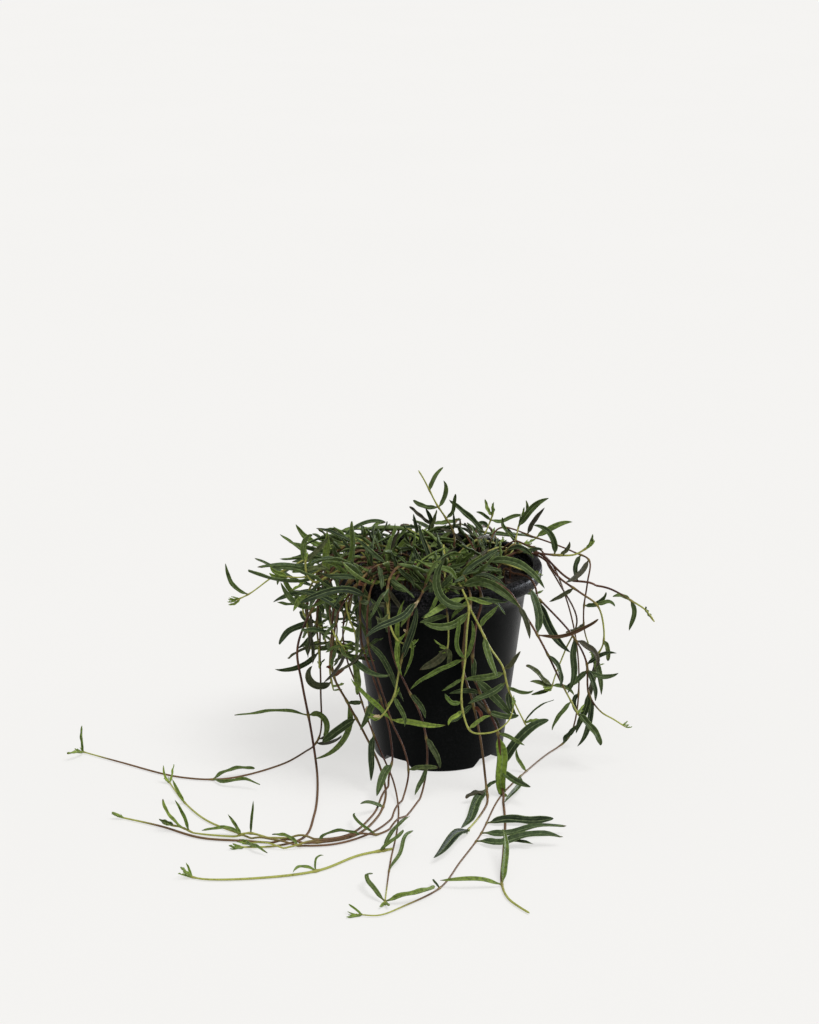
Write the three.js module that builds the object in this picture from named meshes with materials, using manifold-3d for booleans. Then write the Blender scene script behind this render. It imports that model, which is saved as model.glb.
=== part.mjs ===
// Potted string of needles: a trailing plant with narrow fleshy leaves, in a black nursery pot.
// Millimetres, +Z up, the plant's front towards -Y, the middle of the pot's underside at the origin.
import * as THREE from "three";
import { mergeVertices } from "three/addons/utils/BufferGeometryUtils.js";
import Module from "manifold-3d";

const wasm = await Module();
wasm.setup();

// Pot
const POT_HEIGHT = 125;
const RIM_RADIUS = 65;
const BASE_RADIUS = 41;
const WALL = 1.5;
const COLLAR_HEIGHT = 16;
const SHOULDER_RADIUS = 54.8;
const POT_SIDES = 36;
const FOOT_HEIGHT = 5.5;
const FOOT_WIDTH = 10;
const BOSS_RADIUS = 14;
const FLOOR = 2;
const DRAIN_COUNT = 4;
const DRAIN_WIDTH = 22;
const DRAIN_START = -40;
const SHOULDER = POT_HEIGHT - COLLAR_HEIGHT;
const INNER_SHOULDER = SHOULDER_RADIUS - WALL;
const LIP_INNER = RIM_RADIUS - 6.2;
const POT_FLOOR = FOOT_HEIGHT + FLOOR;

// Soil
const SOIL_TOP = 114;
const SOIL_GAP = 0.6;
const SOIL_LUMP = 1.5;
const SOIL_SIDES = 18;
const SOIL_SEED = 733;
const ROOT_DEPTH = 9;
const HOLE_RADIUS = 2;
const ROOT_SPOTS = 66;
const ROOT_REACH = 49;

// Stems
const STEM_RADIUS = 1.1;
const STEM_TIP_RADIUS = 0.9;
const STEM_STEP = 3;
const STEM_GAP = 3.2;
const STEM_REST = 1.25;
const STEM_SIDES = 3;
const SHAFT = 4;
const SETTLE_PASSES = 30;
const PLANT_SEED = 20417;

// Leaves
const LEAF_STEPS = 16;
const LEAF_GAP = 3.2;
const OWN_GAP = 1.7;
const LEAF_LONGEST = 54;
const RULE_LONGEST = 46;
const RULE_SHORTEST = 21;
const LEAF_THICK = 1.25;
const LEAF_REST = 1.7;
const NODE_SPACING = 23;
const LEAF_TRIES = 14;

const TONES = { dark: 0x35502a, mid: 0x4c6d33, young: 0x86a545 };

// The visible stems. way: points that the stem passes after it leaves the soil. leaves: [place along
// way, heading, rise, length, curl, turn, width], with the angles in degrees; curl bends a leaf
// downwards and turn bends it anticlockwise seen from above.
const ROUTES = [
  {
    name: "vine_far_left_runner",
    tone: "dark",
    bareBelow: 105,
    way: [
      [-64, -8, 134], [-73, -5, 111], [-75, -4, 74], [-75, -2, 40], [-76, 0, 8], [-81, -5, 0],
      [-98, -32, 0], [-132, -56, 0], [-160, -54, 0], [-201, -30, 0], [-229, -12, 0],
    ],
    leaves: [
      [4.2, -20, 35, 24, -50], [4.5, -30, 25, 22, -50], [7.3, 25, 5, 29, 50, -20],
      [7.3, -25, 5, 35, 30, 40], [10, 180, 90, 18, -30], [10, 180, 45, 14, -70], [10, -125, 15, 17, 30, -60],
    ],
  },
  {
    name: "vine_left_fall",
    tone: "dark",
    bareBelow: 100,
    way: [
      [-62, -25, 126], [-73, -28, 112], [-84, -28, 91], [-88, -28, 75], [-85, -30, 54], [-80, -36, 29],
      [-76, -46, 7], [-74, -70, 0], [-74, -111, 0], [-79, -144, 0], [-94, -155, 0], [-115, -157, 0],
    ],
    leaves: [[4.7, 180, 0, 47, 30, 0, 2.8], [4.7, -20, -50, 24, 160, 0, 3.6]],
  },
  {
    name: "vine_bundle_a",
    tone: "dark",
    bareBelow: 88,
    way: [
      [-54, -40, 127], [-62, -45, 105], [-65, -48, 69], [-56, -50, 50], [-46, -54, 32], [-36, -62, 13],
      [-32, -74, 0], [-36, -113, 0], [-51, -142, 0], [-80, -151, 0], [-115, -148, 0], [-139, -144, 0],
      [-164, -128, 0], [-190, -115, 0],
    ],
    leaves: [
      [2.9, 180, -62, 50, -100, 0, 4.4], [8.7, 10, 5, 37, 40, -110], [9, -55, 5, 36, 30], [9.9, -45, 5, 24, 40, 60],
      [13, 180, 30, 8, -20], [6.6, -140, 10, 21, 50],
    ],
  },
  {
    name: "vine_bundle_b",
    tone: "dark",
    bareBelow: 65,
    way: [
      [-49, -46, 126], [-58, -54, 102], [-56, -56, 81], [-50, -58, 64], [-44, -60, 45], [-36, -66, 26],
      [-28, -72, 9], [-24, -95, 0], [-24, -132, 0], [-27, -176, 0], [-29, -230, 0],
    ],
    leaves: [
      [4.6, -80, -80, 36, 20], [5.5, -35, -45, 34, -80], [10, 105, 5, 34, 60, -90], [10, 25, 5, 35, 50, 90],
      [9.2, 75, 2, 50, 30],
    ],
    branch: {
      from: 8.6,
      way: [[-45, -167, 0], [-68, -188, 0], [-100, -198, 0], [-131, -200, 0], [-141, -196, 0]],
      leaves: [
        [2, 75, 15, 16, 90, -90], [2, -145, 10, 18, 70, 80], [0.4, 5, 5, 28, 50, 90],
        [0.3, 70, 5, 44, 20, -20], [5, 150, 30, 9, 10], [5, -170, 20, 10, 10],
      ],
    },
  },
  {
    name: "vine_bundle_c",
    tone: "mid",
    bareBelow: 66,
    way: [
      [-40, -54, 128], [-43, -62, 95], [-38, -64, 75], [-32, -66, 56], [-28, -67, 43], [-21, -70, 28],
      [-18, -74, 14], [-21, -83, 0], [-27, -114, 0], [-41, -138, 0], [-63, -153, 0], [-98, -151, 0],
      [-119, -136, 0], [-137, -120, 0], [-153, -94, 0], [-167, -60, 0],
    ],
    leaves: [
      [1, -20, -45, 43, 20, 0, 4.2], [3.9, -32, 8, 40, -20, 0, 3.6], [3.9, -165, 50, 38, -10, 0, 4], [6, -30, 15, 22],
      [6.3, -120, -50, 28, 60], [10.5, 165, 10, 18, 70, 20], [11.8, 180, 5, 24, 50, 20],
      [15, 150, 60, 12, -60], [15, 60, 40, 12, -20], [14, 180, 65, 17, -10],
    ],
  },
  {
    name: "vine_bundle_d",
    tone: "mid",
    bareBelow: 115,
    way: [
      [-29, -60, 126], [-30, -69, 104], [-26, -70, 84], [-18, -71, 66], [-11, -71, 51], [-7, -72, 33],
      [-7, -75, 16], [-11, -86, 0], [-20, -114, 0], [-34, -137, 0], [-57, -146, 0], [-88, -158, 0],
      [-112, -151, 0],
    ],
    leaves: [
      [4.9, -40, -60, 21, 70], [5.9, -120, -50, 20, -20], [9.1, 120, 5, 31, 60, -90], [3.1, -45, -45, 18, 70],
    ],
  },
  {
    name: "vine_bundle_e",
    tone: "mid",
    bareBelow: 66,
    way: [
      [-45, -50, 126], [-47, -57, 93], [-41, -58, 73], [-35, -60, 55], [-30, -62, 37], [-28, -70, 17],
      [-31, -75, 0], [-40, -122, 0], [-58, -143, 0], [-86, -144, 0], [-134, -140, 0], [-158, -132, 0],
    ],
    leaves: [
      [9.6, -180, 60, 15, 10], [9.5, 0, 85, 21], [10.5, 180, 70, 21, 10], [10.6, 180, 40, 29, -60],
      [3, -155, -55, 23, 40], [5, -135, -60, 32, 50], [11, 170, 20, 10],
    ],
  },
  {
    name: "vine_right_runner",
    tone: "dark",
    bareBelow: 125,
    way: [
      [68, 22, 122], [82, 22, 93], [90, 18, 54], [89, 10, 19], [84, 3, 6], [75, -5, 0], [56, -40, 0],
      [38, -82, 0], [25, -138, 0], [13, -175, 0], [1, -210, 0], [-18, -232, 0], [-32, -244, 0],
      [-44, -243, 0],
    ],
    leaves: [
      [6, 150, 30, 20, -60], [6.2, -100, 2, 54, 10, -10, 4], [7.7, 22, 6, 43, 20], [7.95, 2, 9, 52, 20, 50],
      [8.25, -12, 5, 52, 20, 40], [2.6, 0, -85, 17, -100], [4.5, 0, 55, 18], [10, 115, 10, 23, 90, -90],
      [13, 170, 15, 9],
    ],
  },
  {
    name: "vine_right_front_fall",
    tone: "dark",
    bareBelow: 100,
    way: [
      [18, -58, 127], [16, -62, 102], [15, -62, 78], [21, -66, 57], [26, -72, 34], [29, -74, 10],
      [30, -90, 0], [25, -111, 0], [17, -133, 0],
    ],
    leaves: [
      [5.4, -104, -5, 54, 10], [8, -115, 5, 52, 20, -20], [5.6, -155, 5, 16, 70], [5.3, -15, 40, 9, 30],
      [3, -160, -30, 20, -50], [2.7, -15, -42, 28, 20],
    ],
  },
  {
    name: "vine_strap_fall",
    tone: "mid",
    bareBelow: 66,
    way: [
      [25, -58, 125], [22, -65, 100], [21, -66, 76], [30, -70, 54], [36, -74, 41], [38, -75, 21],
      [39, -74, 0], [40, -119, 0], [38, -162, 0], [36, -204, 0], [39, -222, 0], [45, -233, 0], [50, -240, 0],
    ],
    leaves: [
      [4.1, -85, -80, 44, 5, 0, 4.6], [4.1, -15, -20, 18, 20], [5.3, 0, 45, 45, 70], [5.2, -50, -5, 28, -30],
      [9, 180, 5, 37, 40, -60], [9, 80, 5, 50, 20, 20], [7.3, -55, 5, 43, 60, 120], [3, -15, 10, 20, -70],
      [2.6, 175, 5, 19, 20], [1.6, -60, -78, 17, -20], [3.1, -25, -60, 17, 30],
    ],
  },
  {
    name: "vine_yellow_front",
    tone: "young",
    bareBelow: 200,
    way: [
      [3, 10, 133], [5, -12, 126], [10, -40, 128], [15, -66, 127], [18, -74, 121], [17, -77, 106],
      [16, -78, 88], [14, -79, 68], [15, -79, 55], [20, -80, 43], [29, -80, 42], [36, -80, 44],
      [43, -78, 50], [46, -76, 60],
    ],
    leaves: [
      [3.9, -175, 40, 54, -130, 0, 6], [4.2, -170, 0, 34, -100], [6, -175, -30, 38, 30, 0, 4],
      [6, -150, 80, 28, -60, 0, 3.4], [5.9, -35, 80, 27, -50, 0, 3], [7.4, -165, 30, 14, -90],
      [8, -165, -45, 13, 60], [8.9, -10, 35, 17, 30],
    ],
    branch: {
      from: 4,
      bareBelow: 200,
      way: [[24, -76, 110], [31, -74, 95], [39, -70, 81], [42, -69, 68], [47, -68, 56], [54, -66, 41]],
      leaves: [
        [1.5, -25, -70, 27, -20], [3, -10, 50, 16, -30], [4, -10, -5, 17, -70], [6, 0, 40, 24, 50],
        [1.2, 25, 45, 17, 30],
      ],
    },
  },
  {
    name: "vine_cut_front",
    tone: "mid",
    bareBelow: 200,
    way: [
      [-8, -58, 129], [-12, -72, 124], [-17, -73, 116], [-19, -73, 105], [-21, -74, 93], [-24, -74, 78],
      [-27, -74, 63], [-33, -74, 52], [-37, -74, 48],
    ],
    leaves: [[4.9, -35, 85, 46, 40], [4.4, -20, 75, 37, -20], [6, -20, -55, 20, 60]],
  },
  {
    name: "vine_middle_fall",
    tone: "dark",
    bareBelow: 200,
    way: [[1, -66, 130], [5, -72, 117], [6, -72, 99], [5, -72, 91]],
    leaves: [[3, -165, -40, 22, -30, 0, 4.8], [3, -30, -60, 17, 50]],
  },
  {
    name: "vine_right_arch_a",
    tone: "dark",
    bareBelow: 200,
    way: [
      [37, -52, 127], [50, -48, 111], [60, -45, 94], [68, -43, 78], [77, -40, 58], [83, -38, 46],
      [88, -36, 36],
    ],
    leaves: [
      [2, -125, 75, 34, 50], [2, 0, 15, 40, -50], [3, -25, -65, 23, 70], [0.9, -40, -65, 22, 40],
      [6, -10, -55, 26, 40], [5, -150, -50, 22, 40],
    ],
  },
  {
    name: "vine_right_arch_b",
    tone: "dark",
    bareBelow: 200,
    way: [
      [55, -34, 119], [66, -34, 108], [83, -32, 88], [92, -30, 70], [94, -30, 49], [102, -28, 36],
      [110, -28, 31], [118, -26, 25],
    ],
    leaves: [
      [0.7, -25, -55, 39, -60], [2, -130, -75, 37, -40], [2.2, -10, -55, 25, 110], [3.1, -5, 25, 21, 60],
      [3.2, -5, -5, 21, -80], [3.3, -45, -70, 21, 50], [3.2, -165, -30, 19, -50], [4.1, -165, -75, 35, -70],
      [4, -150, -65, 28, -20],
    ],
  },
  {
    name: "vine_right_arch_c",
    tone: "dark",
    bareBelow: 200,
    way: [
      [38, 24, 140], [61, 18, 136], [86, 12, 128], [95, 8, 124], [94, 6, 110], [92, 6, 92], [93, 6, 77],
      [97, 4, 65], [100, 2, 54],
    ],
    leaves: [
      [3, -165, -55, 30, -45], [2.5, -150, -65, 19, 80], [5.7, -165, -10, 18, -60], [4.8, -10, 35, 19, -90],
      [7, -60, -75, 30, 40], [8, -120, -70, 26, -30], [1, 10, 20, 26, 60],
    ],
  },
  {
    name: "vine_thin_right",
    tone: "dark",
    bareBelow: 200,
    way: [
      [56, 12, 130], [65, 10, 127], [83, 6, 112], [108, 6, 106], [122, 6, 98], [131, 6, 92], [137, 6, 84],
    ],
    leaves: [[3.9, 0, -90, 21, 40], [3.9, -170, 15, 13, 60], [6, 180, 55, 9, -40]],
  },
  {
    name: "vine_ring_right",
    tone: "mid",
    bareBelow: 200,
    way: [
      [59, 6, 129], [67, 2, 126], [76, 0, 115], [89, -2, 106], [100, -4, 98], [104, -4, 85], [104, -4, 72],
      [100, -4, 64],
    ],
    leaves: [[2.7, -165, -25, 18, -30], [5.8, -40, -75, 14, 50], [4, 0, -5, 13, 90], [7, -120, -60, 12]],
  },
  {
    name: "vine_red_right",
    tone: "dark",
    bareBelow: 200,
    way: [[52, 4, 130], [63, 0, 131], [74, 0, 130], [85, -2, 131], [94, -4, 137]],
    leaves: [[1.9, 180, 55, 27, 100], [2.2, 0, 55, 12, -80], [4, 0, 65, 11, -50]],
  },
  {
    name: "vine_thin_left",
    tone: "young",
    bareBelow: 200,
    way: [[-69, 18, 130], [-88, 15, 120], [-104, 12, 112], [-120, 8, 101], [-129, 6, 97]],
    leaves: [
      [0.2, -180, 40, 25, -50], [0.4, -170, -10, 28, -80], [1.7, -20, -50, 27, -80], [3, 180, 55, 27, -70],
      [4, 180, -30, 9, -60],
    ],
  },
  {
    name: "vine_yellow_left",
    tone: "young",
    bareBelow: 200,
    way: [[-50, 6, 130], [-67, -10, 127], [-83, -12, 119], [-97, -12, 119]],
    leaves: [[3, 180, 35, 14, -60], [3, -170, 15, 13, -70], [2, -160, -35, 14, -60]],
  },
  {
    name: "vine_left_up",
    tone: "mid",
    bareBelow: 200,
    way: [[-65, -30, 127], [-76, -32, 122], [-81, -32, 127], [-82, -32, 138]],
    leaves: [[3, 0, 75, 20, 90], [3, 0, 50, 22, -20], [2.3, -15, 5, 17, 80], [1, 180, 20, 30, 60]],
  },
  {
    name: "vine_left_hang_a",
    tone: "dark",
    bareBelow: 66,
    way: [[-60, -22, 133], [-72, -22, 115], [-76, -20, 92], [-75, -18, 73], [-75, -16, 60]],
    leaves: [
      [2, -170, -30, 29, 60, 0, 5], [2.6, -170, 55, 26, -100, 0, 4.6], [3.1, -170, -20, 32, -70, 0, 3.8],
      [3, -10, 5, 26, 60, 0, 4.6],
    ],
  },
  {
    name: "vine_left_hang_b",
    tone: "dark",
    bareBelow: 62,
    way: [[-53, -42, 127], [-62, -44, 108], [-66, -44, 85], [-67, -42, 67], [-65, -42, 55]],
    leaves: [[3.4, 180, 40, 27, -200, 0, 5], [1.1, -170, 55, 19, -40]],
  },
  {
    name: "vine_left_hang_c",
    tone: "mid",
    way: [[-48, -48, 126], [-56, -50, 117], [-54, -54, 104], [-51, -55, 98], [-50, -56, 83]],
    leaves: [
      [1.1, -135, -75, 26, -60], [3, 180, 15, 13, 10], [3, 180, -40, 28, 150, 0, 3.6], [4, -90, -80, 27],
      [2, -20, -45, 23, 40],
    ],
  },
  {
    name: "vine_top_sprig",
    tone: "mid",
    bareBelow: 200,
    way: [
      [10, 17, 133], [9, 22, 139], [3, 24, 149], [-1, 24, 155], [-6, 24, 165], [-10, 24, 173],
      [-13, 24, 178],
    ],
    leaves: [[3, 180, 15, 17, -50], [2.9, 0, 80, 19, -80], [4.1, 0, 60, 18, 50], [1.7, 0, 70, 18, -55]],
  },
  {
    name: "vine_top_right_sprig",
    tone: "mid",
    bareBelow: 200,
    way: [[48, 14, 130], [49, 20, 137], [50, 22, 142], [53, 22, 149]],
    leaves: [[1.8, 0, 45, 28, 50], [2.6, 0, 75, 15, -80], [0.6, -180, 60, 18, -60]],
  },
  {
    name: "vine_top_back_sprig",
    tone: "dark",
    bareBelow: 200,
    way: [[25, 24, 129], [30, 30, 136], [33, 32, 143], [35, 32, 149]],
    leaves: [[2.3, 180, 65, 12, -20], [2.1, 180, 30, 11, 30], [2, 0, 10, 20, -30], [0.8, 180, 45, 32]],
  },
  {
    name: "vine_right_low",
    tone: "mid",
    bareBelow: 200,
    way: [[65, 12, 124], [77, 10, 107], [88, 8, 84], [81, 8, 64], [75, 6, 48], [72, 4, 38]],
    leaves: [[5, -180, 40, 22, 10], [4.9, -170, 15, 15, 10], [5, 180, -25, 15, -40], [4.9, 0, -25, 17, 80]],
  },
];

// Stems placed by rule: low ones that arch over the soil, and ones that fall round the pot, each with
// its azimuth in degrees and the height at which it ends.
const CROWN_STEMS = 10;
const CROWN_AZIMUTH_STEP = 137.5;
const FALLS = [
  [60, 84], [78, 58], [95, 44], [112, 66], [128, 48], [145, 70], [158, 54], [171, 76], [184, 86], [197, 74],
  [211, 88], [226, 78], [243, 92],
];

const UP = new THREE.Vector3(0, 0, 1);

// Draws from 0 up to 1 that come out alike on every run.
function seeded(seed) {
  let state = seed;
  return () => {
    state = (state * 1664525 + 1013904223) % 4294967296;
    return state / 4294967296;
  };
}

function between(draw, low, high) {
  return low + (high - low) * draw();
}

function mix(a, b, share) {
  return a + (b - a) * share;
}

const DEGREE = Math.PI / 180;

function polar(radius, azimuth, z) {
  return new THREE.Vector3(radius * Math.cos(azimuth * DEGREE), radius * Math.sin(azimuth * DEGREE), z);
}

function outward(point) {
  const flat = new THREE.Vector3(point.x, point.y, 0);
  return flat.lengthSq() < 1 ? new THREE.Vector3(0, -1, 0) : flat.normalize();
}

function potRadius(z) {
  return z > SHOULDER ? RIM_RADIUS : mix(BASE_RADIUS, SHOULDER_RADIUS, z / SHOULDER);
}

// Points already taken, by cell, so that what grows later can keep clear of them.
const cells = new Map();
const CELL = STEM_GAP;

function cellKey(i, j, k) {
  return (i + 512) * 1048576 + (j + 512) * 1024 + (k + 512);
}

function take(point, vine) {
  const key = cellKey(Math.floor(point.x / CELL), Math.floor(point.y / CELL), Math.floor(point.z / CELL));
  if (!cells.has(key)) cells.set(key, []);
  cells.get(key).push({ point, vine });
}

function nearby(point) {
  const found = [];
  const i = Math.floor(point.x / CELL);
  const j = Math.floor(point.y / CELL);
  const k = Math.floor(point.z / CELL);
  for (let a = i - 1; a <= i + 1; a++)
    for (let b = j - 1; b <= j + 1; b++)
      for (let c = k - 1; c <= k + 1; c++) {
        const cell = cells.get(cellKey(a, b, c));
        if (cell) found.push(...cell);
      }
  return found;
}

// Spots on the soil in a sunflower spiral; each stem takes the free one nearest to its way.
const freeSpots = [];
for (let n = 0; n < ROOT_SPOTS; n++)
  freeSpots.push(polar(ROOT_REACH * Math.sqrt((n + 0.5) / ROOT_SPOTS), n * CROWN_AZIMUTH_STEP, SOIL_TOP));

function takeSpot(wish) {
  let best = 0;
  freeSpots.forEach((spot, n) => {
    if (spot.distanceTo(wish) < freeSpots[best].distanceTo(wish)) best = n;
  });
  return freeSpots.splice(best, 1)[0];
}

// The same polyline in equal steps of about the given length.
function evenSteps(points, step) {
  const reach = [0];
  for (let n = 1; n < points.length; n++) reach.push(reach[n - 1] + points[n].distanceTo(points[n - 1]));
  const total = reach[reach.length - 1];
  const count = Math.max(2, Math.round(total / step));
  const even = [];
  let n = 1;
  for (let m = 0; m <= count; m++) {
    const goal = (total * m) / count;
    while (n < points.length - 1 && reach[n] < goal) n++;
    const share = (goal - reach[n - 1]) / (reach[n] - reach[n - 1]);
    even.push(points[n - 1].clone().lerp(points[n], Math.min(1, share)));
  }
  return even;
}

const CURVE_PARTS = 12;

// A smooth line through the points, from the second point to the last.
function smoothFromSecond(points) {
  const curve = new THREE.CatmullRomCurve3(points);
  const spans = points.length - 1;
  const parts = spans * CURVE_PARTS;
  const line = [];
  for (let m = CURVE_PARTS; m <= parts; m++) line.push(curve.getPoint(m / parts));
  return line;
}

const LIP_RADIUS = 60.5;
const LIP_HEIGHT = 118.5;
const LIP_CLEAR = 9;
const STEM_CLEAR = 1.8;
const LEAN_OUT = 0.35;
const LEAN_UP = 0.45;
const PUSH_SHARE = 0.45;

// How far a stem's point must move to leave the pot, the soil and the stems laid before it.
function pushAway(point, vine) {
  const push = new THREE.Vector3();
  const out = outward(point);
  for (const other of nearby(point)) {
    if (other.vine === vine) continue;
    const away = point.clone().sub(other.point);
    const distance = away.length();
    if (distance >= STEM_GAP) continue;
    away.divideScalar(Math.max(distance, 1e-6));
    away.addScaledVector(out, LEAN_OUT).addScaledVector(UP, LEAN_UP);
    push.addScaledVector(away, (STEM_GAP - distance) * PUSH_SHARE);
  }
  const radius = Math.hypot(point.x, point.y);
  const lipAcross = radius - LIP_RADIUS;
  const lipUp = point.z - LIP_HEIGHT;
  const lipDistance = Math.hypot(lipAcross, lipUp);
  if (lipDistance < LIP_CLEAR) {
    push.addScaledVector(out, ((LIP_CLEAR - lipDistance) * lipAcross) / lipDistance);
    push.addScaledVector(UP, ((LIP_CLEAR - lipDistance) * lipUp) / lipDistance);
  } else if (point.z < SHOULDER) {
    const short = potRadius(Math.max(0, point.z)) + STEM_CLEAR - radius;
    if (short > 0) push.addScaledVector(out, short);
  } else if (radius < LIP_RADIUS - LIP_CLEAR) {
    push.z += Math.max(0, SOIL_TOP + SOIL_LUMP + STEM_CLEAR - point.z);
  }
  return push;
}

// Bends a line clear of what stands in its way. Its first points stay where they are.
function settle(line, vine, fixed) {
  const last = line.length - 1;
  for (let pass = 0; pass < SETTLE_PASSES; pass++) {
    const push = line.map((point, n) => (n < fixed ? new THREE.Vector3() : pushAway(point, vine)));
    for (let n = fixed; n <= last; n++) {
      const move = push[n].clone().multiplyScalar(0.5);
      move.addScaledVector(push[n - 1], 0.25).addScaledVector(push[Math.min(n + 1, last)], 0.25);
      const moved = move.lengthSq() > 1e-8;
      line[n].add(move);
      if (moved && n < last) line[n].lerp(line[n - 1].clone().lerp(line[n + 1], 0.5), 0.25);
      line[n].z = Math.max(line[n].z, STEM_REST);
    }
  }
}

// Index along a stem's line of a place given by its way points, short of the line's pointed end.
function indexOfPlace(line, way, place) {
  const n = Math.min(way.length - 1, Math.floor(place));
  const next = way[Math.min(way.length - 1, n + 1)];
  const goal = way[n].clone().lerp(next, place - n);
  let best = 0;
  line.forEach((point, m) => {
    if (point.distanceToSquared(goal) < line[best].distanceToSquared(goal)) best = m;
  });
  return Math.min(best, line.length - 2);
}

const SHAFT_BELOW = 12;
const SPOT_SHARE = 0.74;
const RIM_PASS_RADIUS = 48;
const RIM_PASS_HEIGHT = 129;

function rootedStem(route, vine, draw) {
  const way = route.way.map(([x, y, z]) => new THREE.Vector3(x, y, Math.max(z, STEM_REST)));
  const wish = new THREE.Vector3(way[0].x * SPOT_SHARE, way[0].y * SPOT_SHARE, SOIL_TOP);
  const spot = takeSpot(wish);
  const lifted = spot.clone().addScaledVector(UP, SHAFT);
  const below = lifted.clone().addScaledVector(UP, -SHAFT_BELOW);
  const guide = [below, lifted];
  if (Math.hypot(way[0].x, way[0].y) > RIM_PASS_RADIUS + 4) {
    const height = Math.max(RIM_PASS_HEIGHT, way[0].z) + between(draw, 0, 5);
    guide.push(outward(way[0]).multiplyScalar(RIM_PASS_RADIUS).setZ(height));
  }
  const bent = evenSteps(smoothFromSecond([...guide, ...way]), STEM_STEP);
  const shaftStart = spot.clone().addScaledVector(UP, -ROOT_DEPTH);
  const shaft = [0, 1 / 3, 2 / 3].map((share) => shaftStart.clone().lerp(lifted, share));
  const line = [...shaft, ...bent];
  const fixed = shaft.length + 1;
  settle(line, vine, fixed);
  return { line, way, spot, route };
}

function branchStem(parent, branch, vine) {
  const start = parent.line[indexOfPlace(parent.line, parent.way, branch.from)].clone();
  const way = branch.way.map(([x, y, z]) => new THREE.Vector3(x, y, Math.max(z, STEM_REST)));
  const before = start.clone().multiplyScalar(2).sub(way[0]);
  const line = evenSteps(smoothFromSecond([before, start, ...way]), STEM_STEP);
  settle(line, vine, 1);
  return { line, way: [start, ...way], route: branch };
}

function ruledRoute(name, tone, way) {
  return { name, tone, way: way.map((point) => point.toArray()), leaves: [] };
}

// Way points of a low stem that arches from the middle towards the rim.
function crownRoute(n, draw) {
  const azimuth = n * CROWN_AZIMUTH_STEP + between(draw, -12, 12);
  const bend = between(draw, -35, 35);
  const peak = between(draw, 124, 137);
  const way = [
    polar(between(draw, 14, 26), azimuth, peak - 6),
    polar(between(draw, 34, 42), azimuth + bend * 0.5, peak),
    polar(between(draw, 56, 68), azimuth + bend, peak - between(draw, 0, 8)),
  ];
  return ruledRoute(`vine_crown_${n + 1}`, n % 3 ? "dark" : "mid", way);
}

// Way points of a stem that goes over the rim at an azimuth and hangs beside the pot.
function fallRoute(n, draw) {
  const [azimuth, end] = FALLS[n];
  const sway = between(draw, -16, 16);
  const reach = between(draw, 74, 84);
  const way = [
    polar(66, azimuth, between(draw, 127, 134)),
    polar(reach, azimuth + sway * 0.3, between(draw, 104, 114)),
    polar(reach + between(draw, -5, 6), azimuth + sway * 0.7, mix(end, 110, 0.45)),
    polar(reach + between(draw, -10, 6), azimuth + sway, end),
  ];
  return ruledRoute(`vine_fall_${n + 1}`, n % 4 ? "dark" : "mid", way);
}

function direction(heading, rise) {
  const level = Math.cos(rise * DEGREE);
  return new THREE.Vector3(
    level * Math.cos(heading * DEGREE),
    level * Math.sin(heading * DEGREE),
    Math.sin(rise * DEGREE),
  );
}

// A leaf's midrib in equal steps from its base, and the sideways direction of its blade at each.
function midrib(leaf) {
  const points = [leaf.base.clone()];
  const sides = [];
  for (let n = 0; n < LEAF_STEPS; n++) {
    const share = (n + 0.5) / LEAF_STEPS - 0.5;
    const along = direction(leaf.heading + leaf.turn * share, leaf.rise - leaf.curl * share);
    points.push(points[n].clone().addScaledVector(along, leaf.length / LEAF_STEPS));
    sides.push(along.cross(leaf.face).normalize());
  }
  sides.push(sides[LEAF_STEPS - 1].clone());
  return { points, sides };
}

function leafWidth(length) {
  return THREE.MathUtils.clamp(length * 0.1 + 1.5, 2.4, 6);
}

// Half the blade's width at a share of its length: a narrow foot, widest before the middle.
function halfWidth(share, width) {
  const rising = Math.min(1, 0.3 + 2.1 * share);
  const falling = Math.min(1, 1.9 * (1 - share));
  return 0.5 * width * rising * falling;
}

function samplesOf(leaf) {
  const { points, sides } = midrib(leaf);
  const samples = [];
  for (let n = 1; n <= LEAF_STEPS; n++) {
    samples.push(points[n]);
    const half = halfWidth(n / LEAF_STEPS, leaf.width);
    if (n < 2 || half < 0.9) continue;
    samples.push(points[n].clone().addScaledVector(sides[n], half));
    samples.push(points[n].clone().addScaledVector(sides[n], -half));
  }
  return samples;
}

const LEAF_WALL_CLEAR = 1.7;
const LEAF_SOIL_CLEAR = 3.2;
const RIM_TOP_CLEAR = 2.2;
const FOOT_FREE = 7;
const CROWN_TOP = 148;
const CROWN_SLOPE = 0.25;
const BARE_FRONT_TOP = 112;
const BARE_FRONT_LEFT = -32;
const BARE_FRONT_RIGHT = 50;
const BARE_RIM_LEFT = 40;
const BARE_RIM_BACK = 45;

function insideHolder(point) {
  if (point.z < LEAF_REST) return true;
  if (point.z > POT_HEIGHT + RIM_TOP_CLEAR) return false;
  const radius = Math.hypot(point.x, point.y);
  if (radius > potRadius(point.z) + LEAF_WALL_CLEAR) return false;
  return point.z < SOIL_TOP + LEAF_SOIL_CLEAR || radius > LIP_RADIUS - LIP_CLEAR + 1;
}

function aboveCrown(point) {
  return point.z > CROWN_TOP - CROWN_SLOPE * Math.max(0, point.y);
}

// Whether a point hangs before the front of the pot, which the photo shows bare.
function beforeFront(point) {
  return point.z < BARE_FRONT_TOP && point.y < -48 && point.x > BARE_FRONT_LEFT && point.x < BARE_FRONT_RIGHT;
}

// Whether a point is over the right of the rim, where the photo shows the soil and the rim itself.
function overBareRim(point) {
  return point.x > BARE_RIM_LEFT && point.y < BARE_RIM_BACK && point.z > BARE_FRONT_TOP;
}

function isKeptBare(point) {
  return aboveCrown(point) || beforeFront(point) || overBareRim(point);
}

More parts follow.
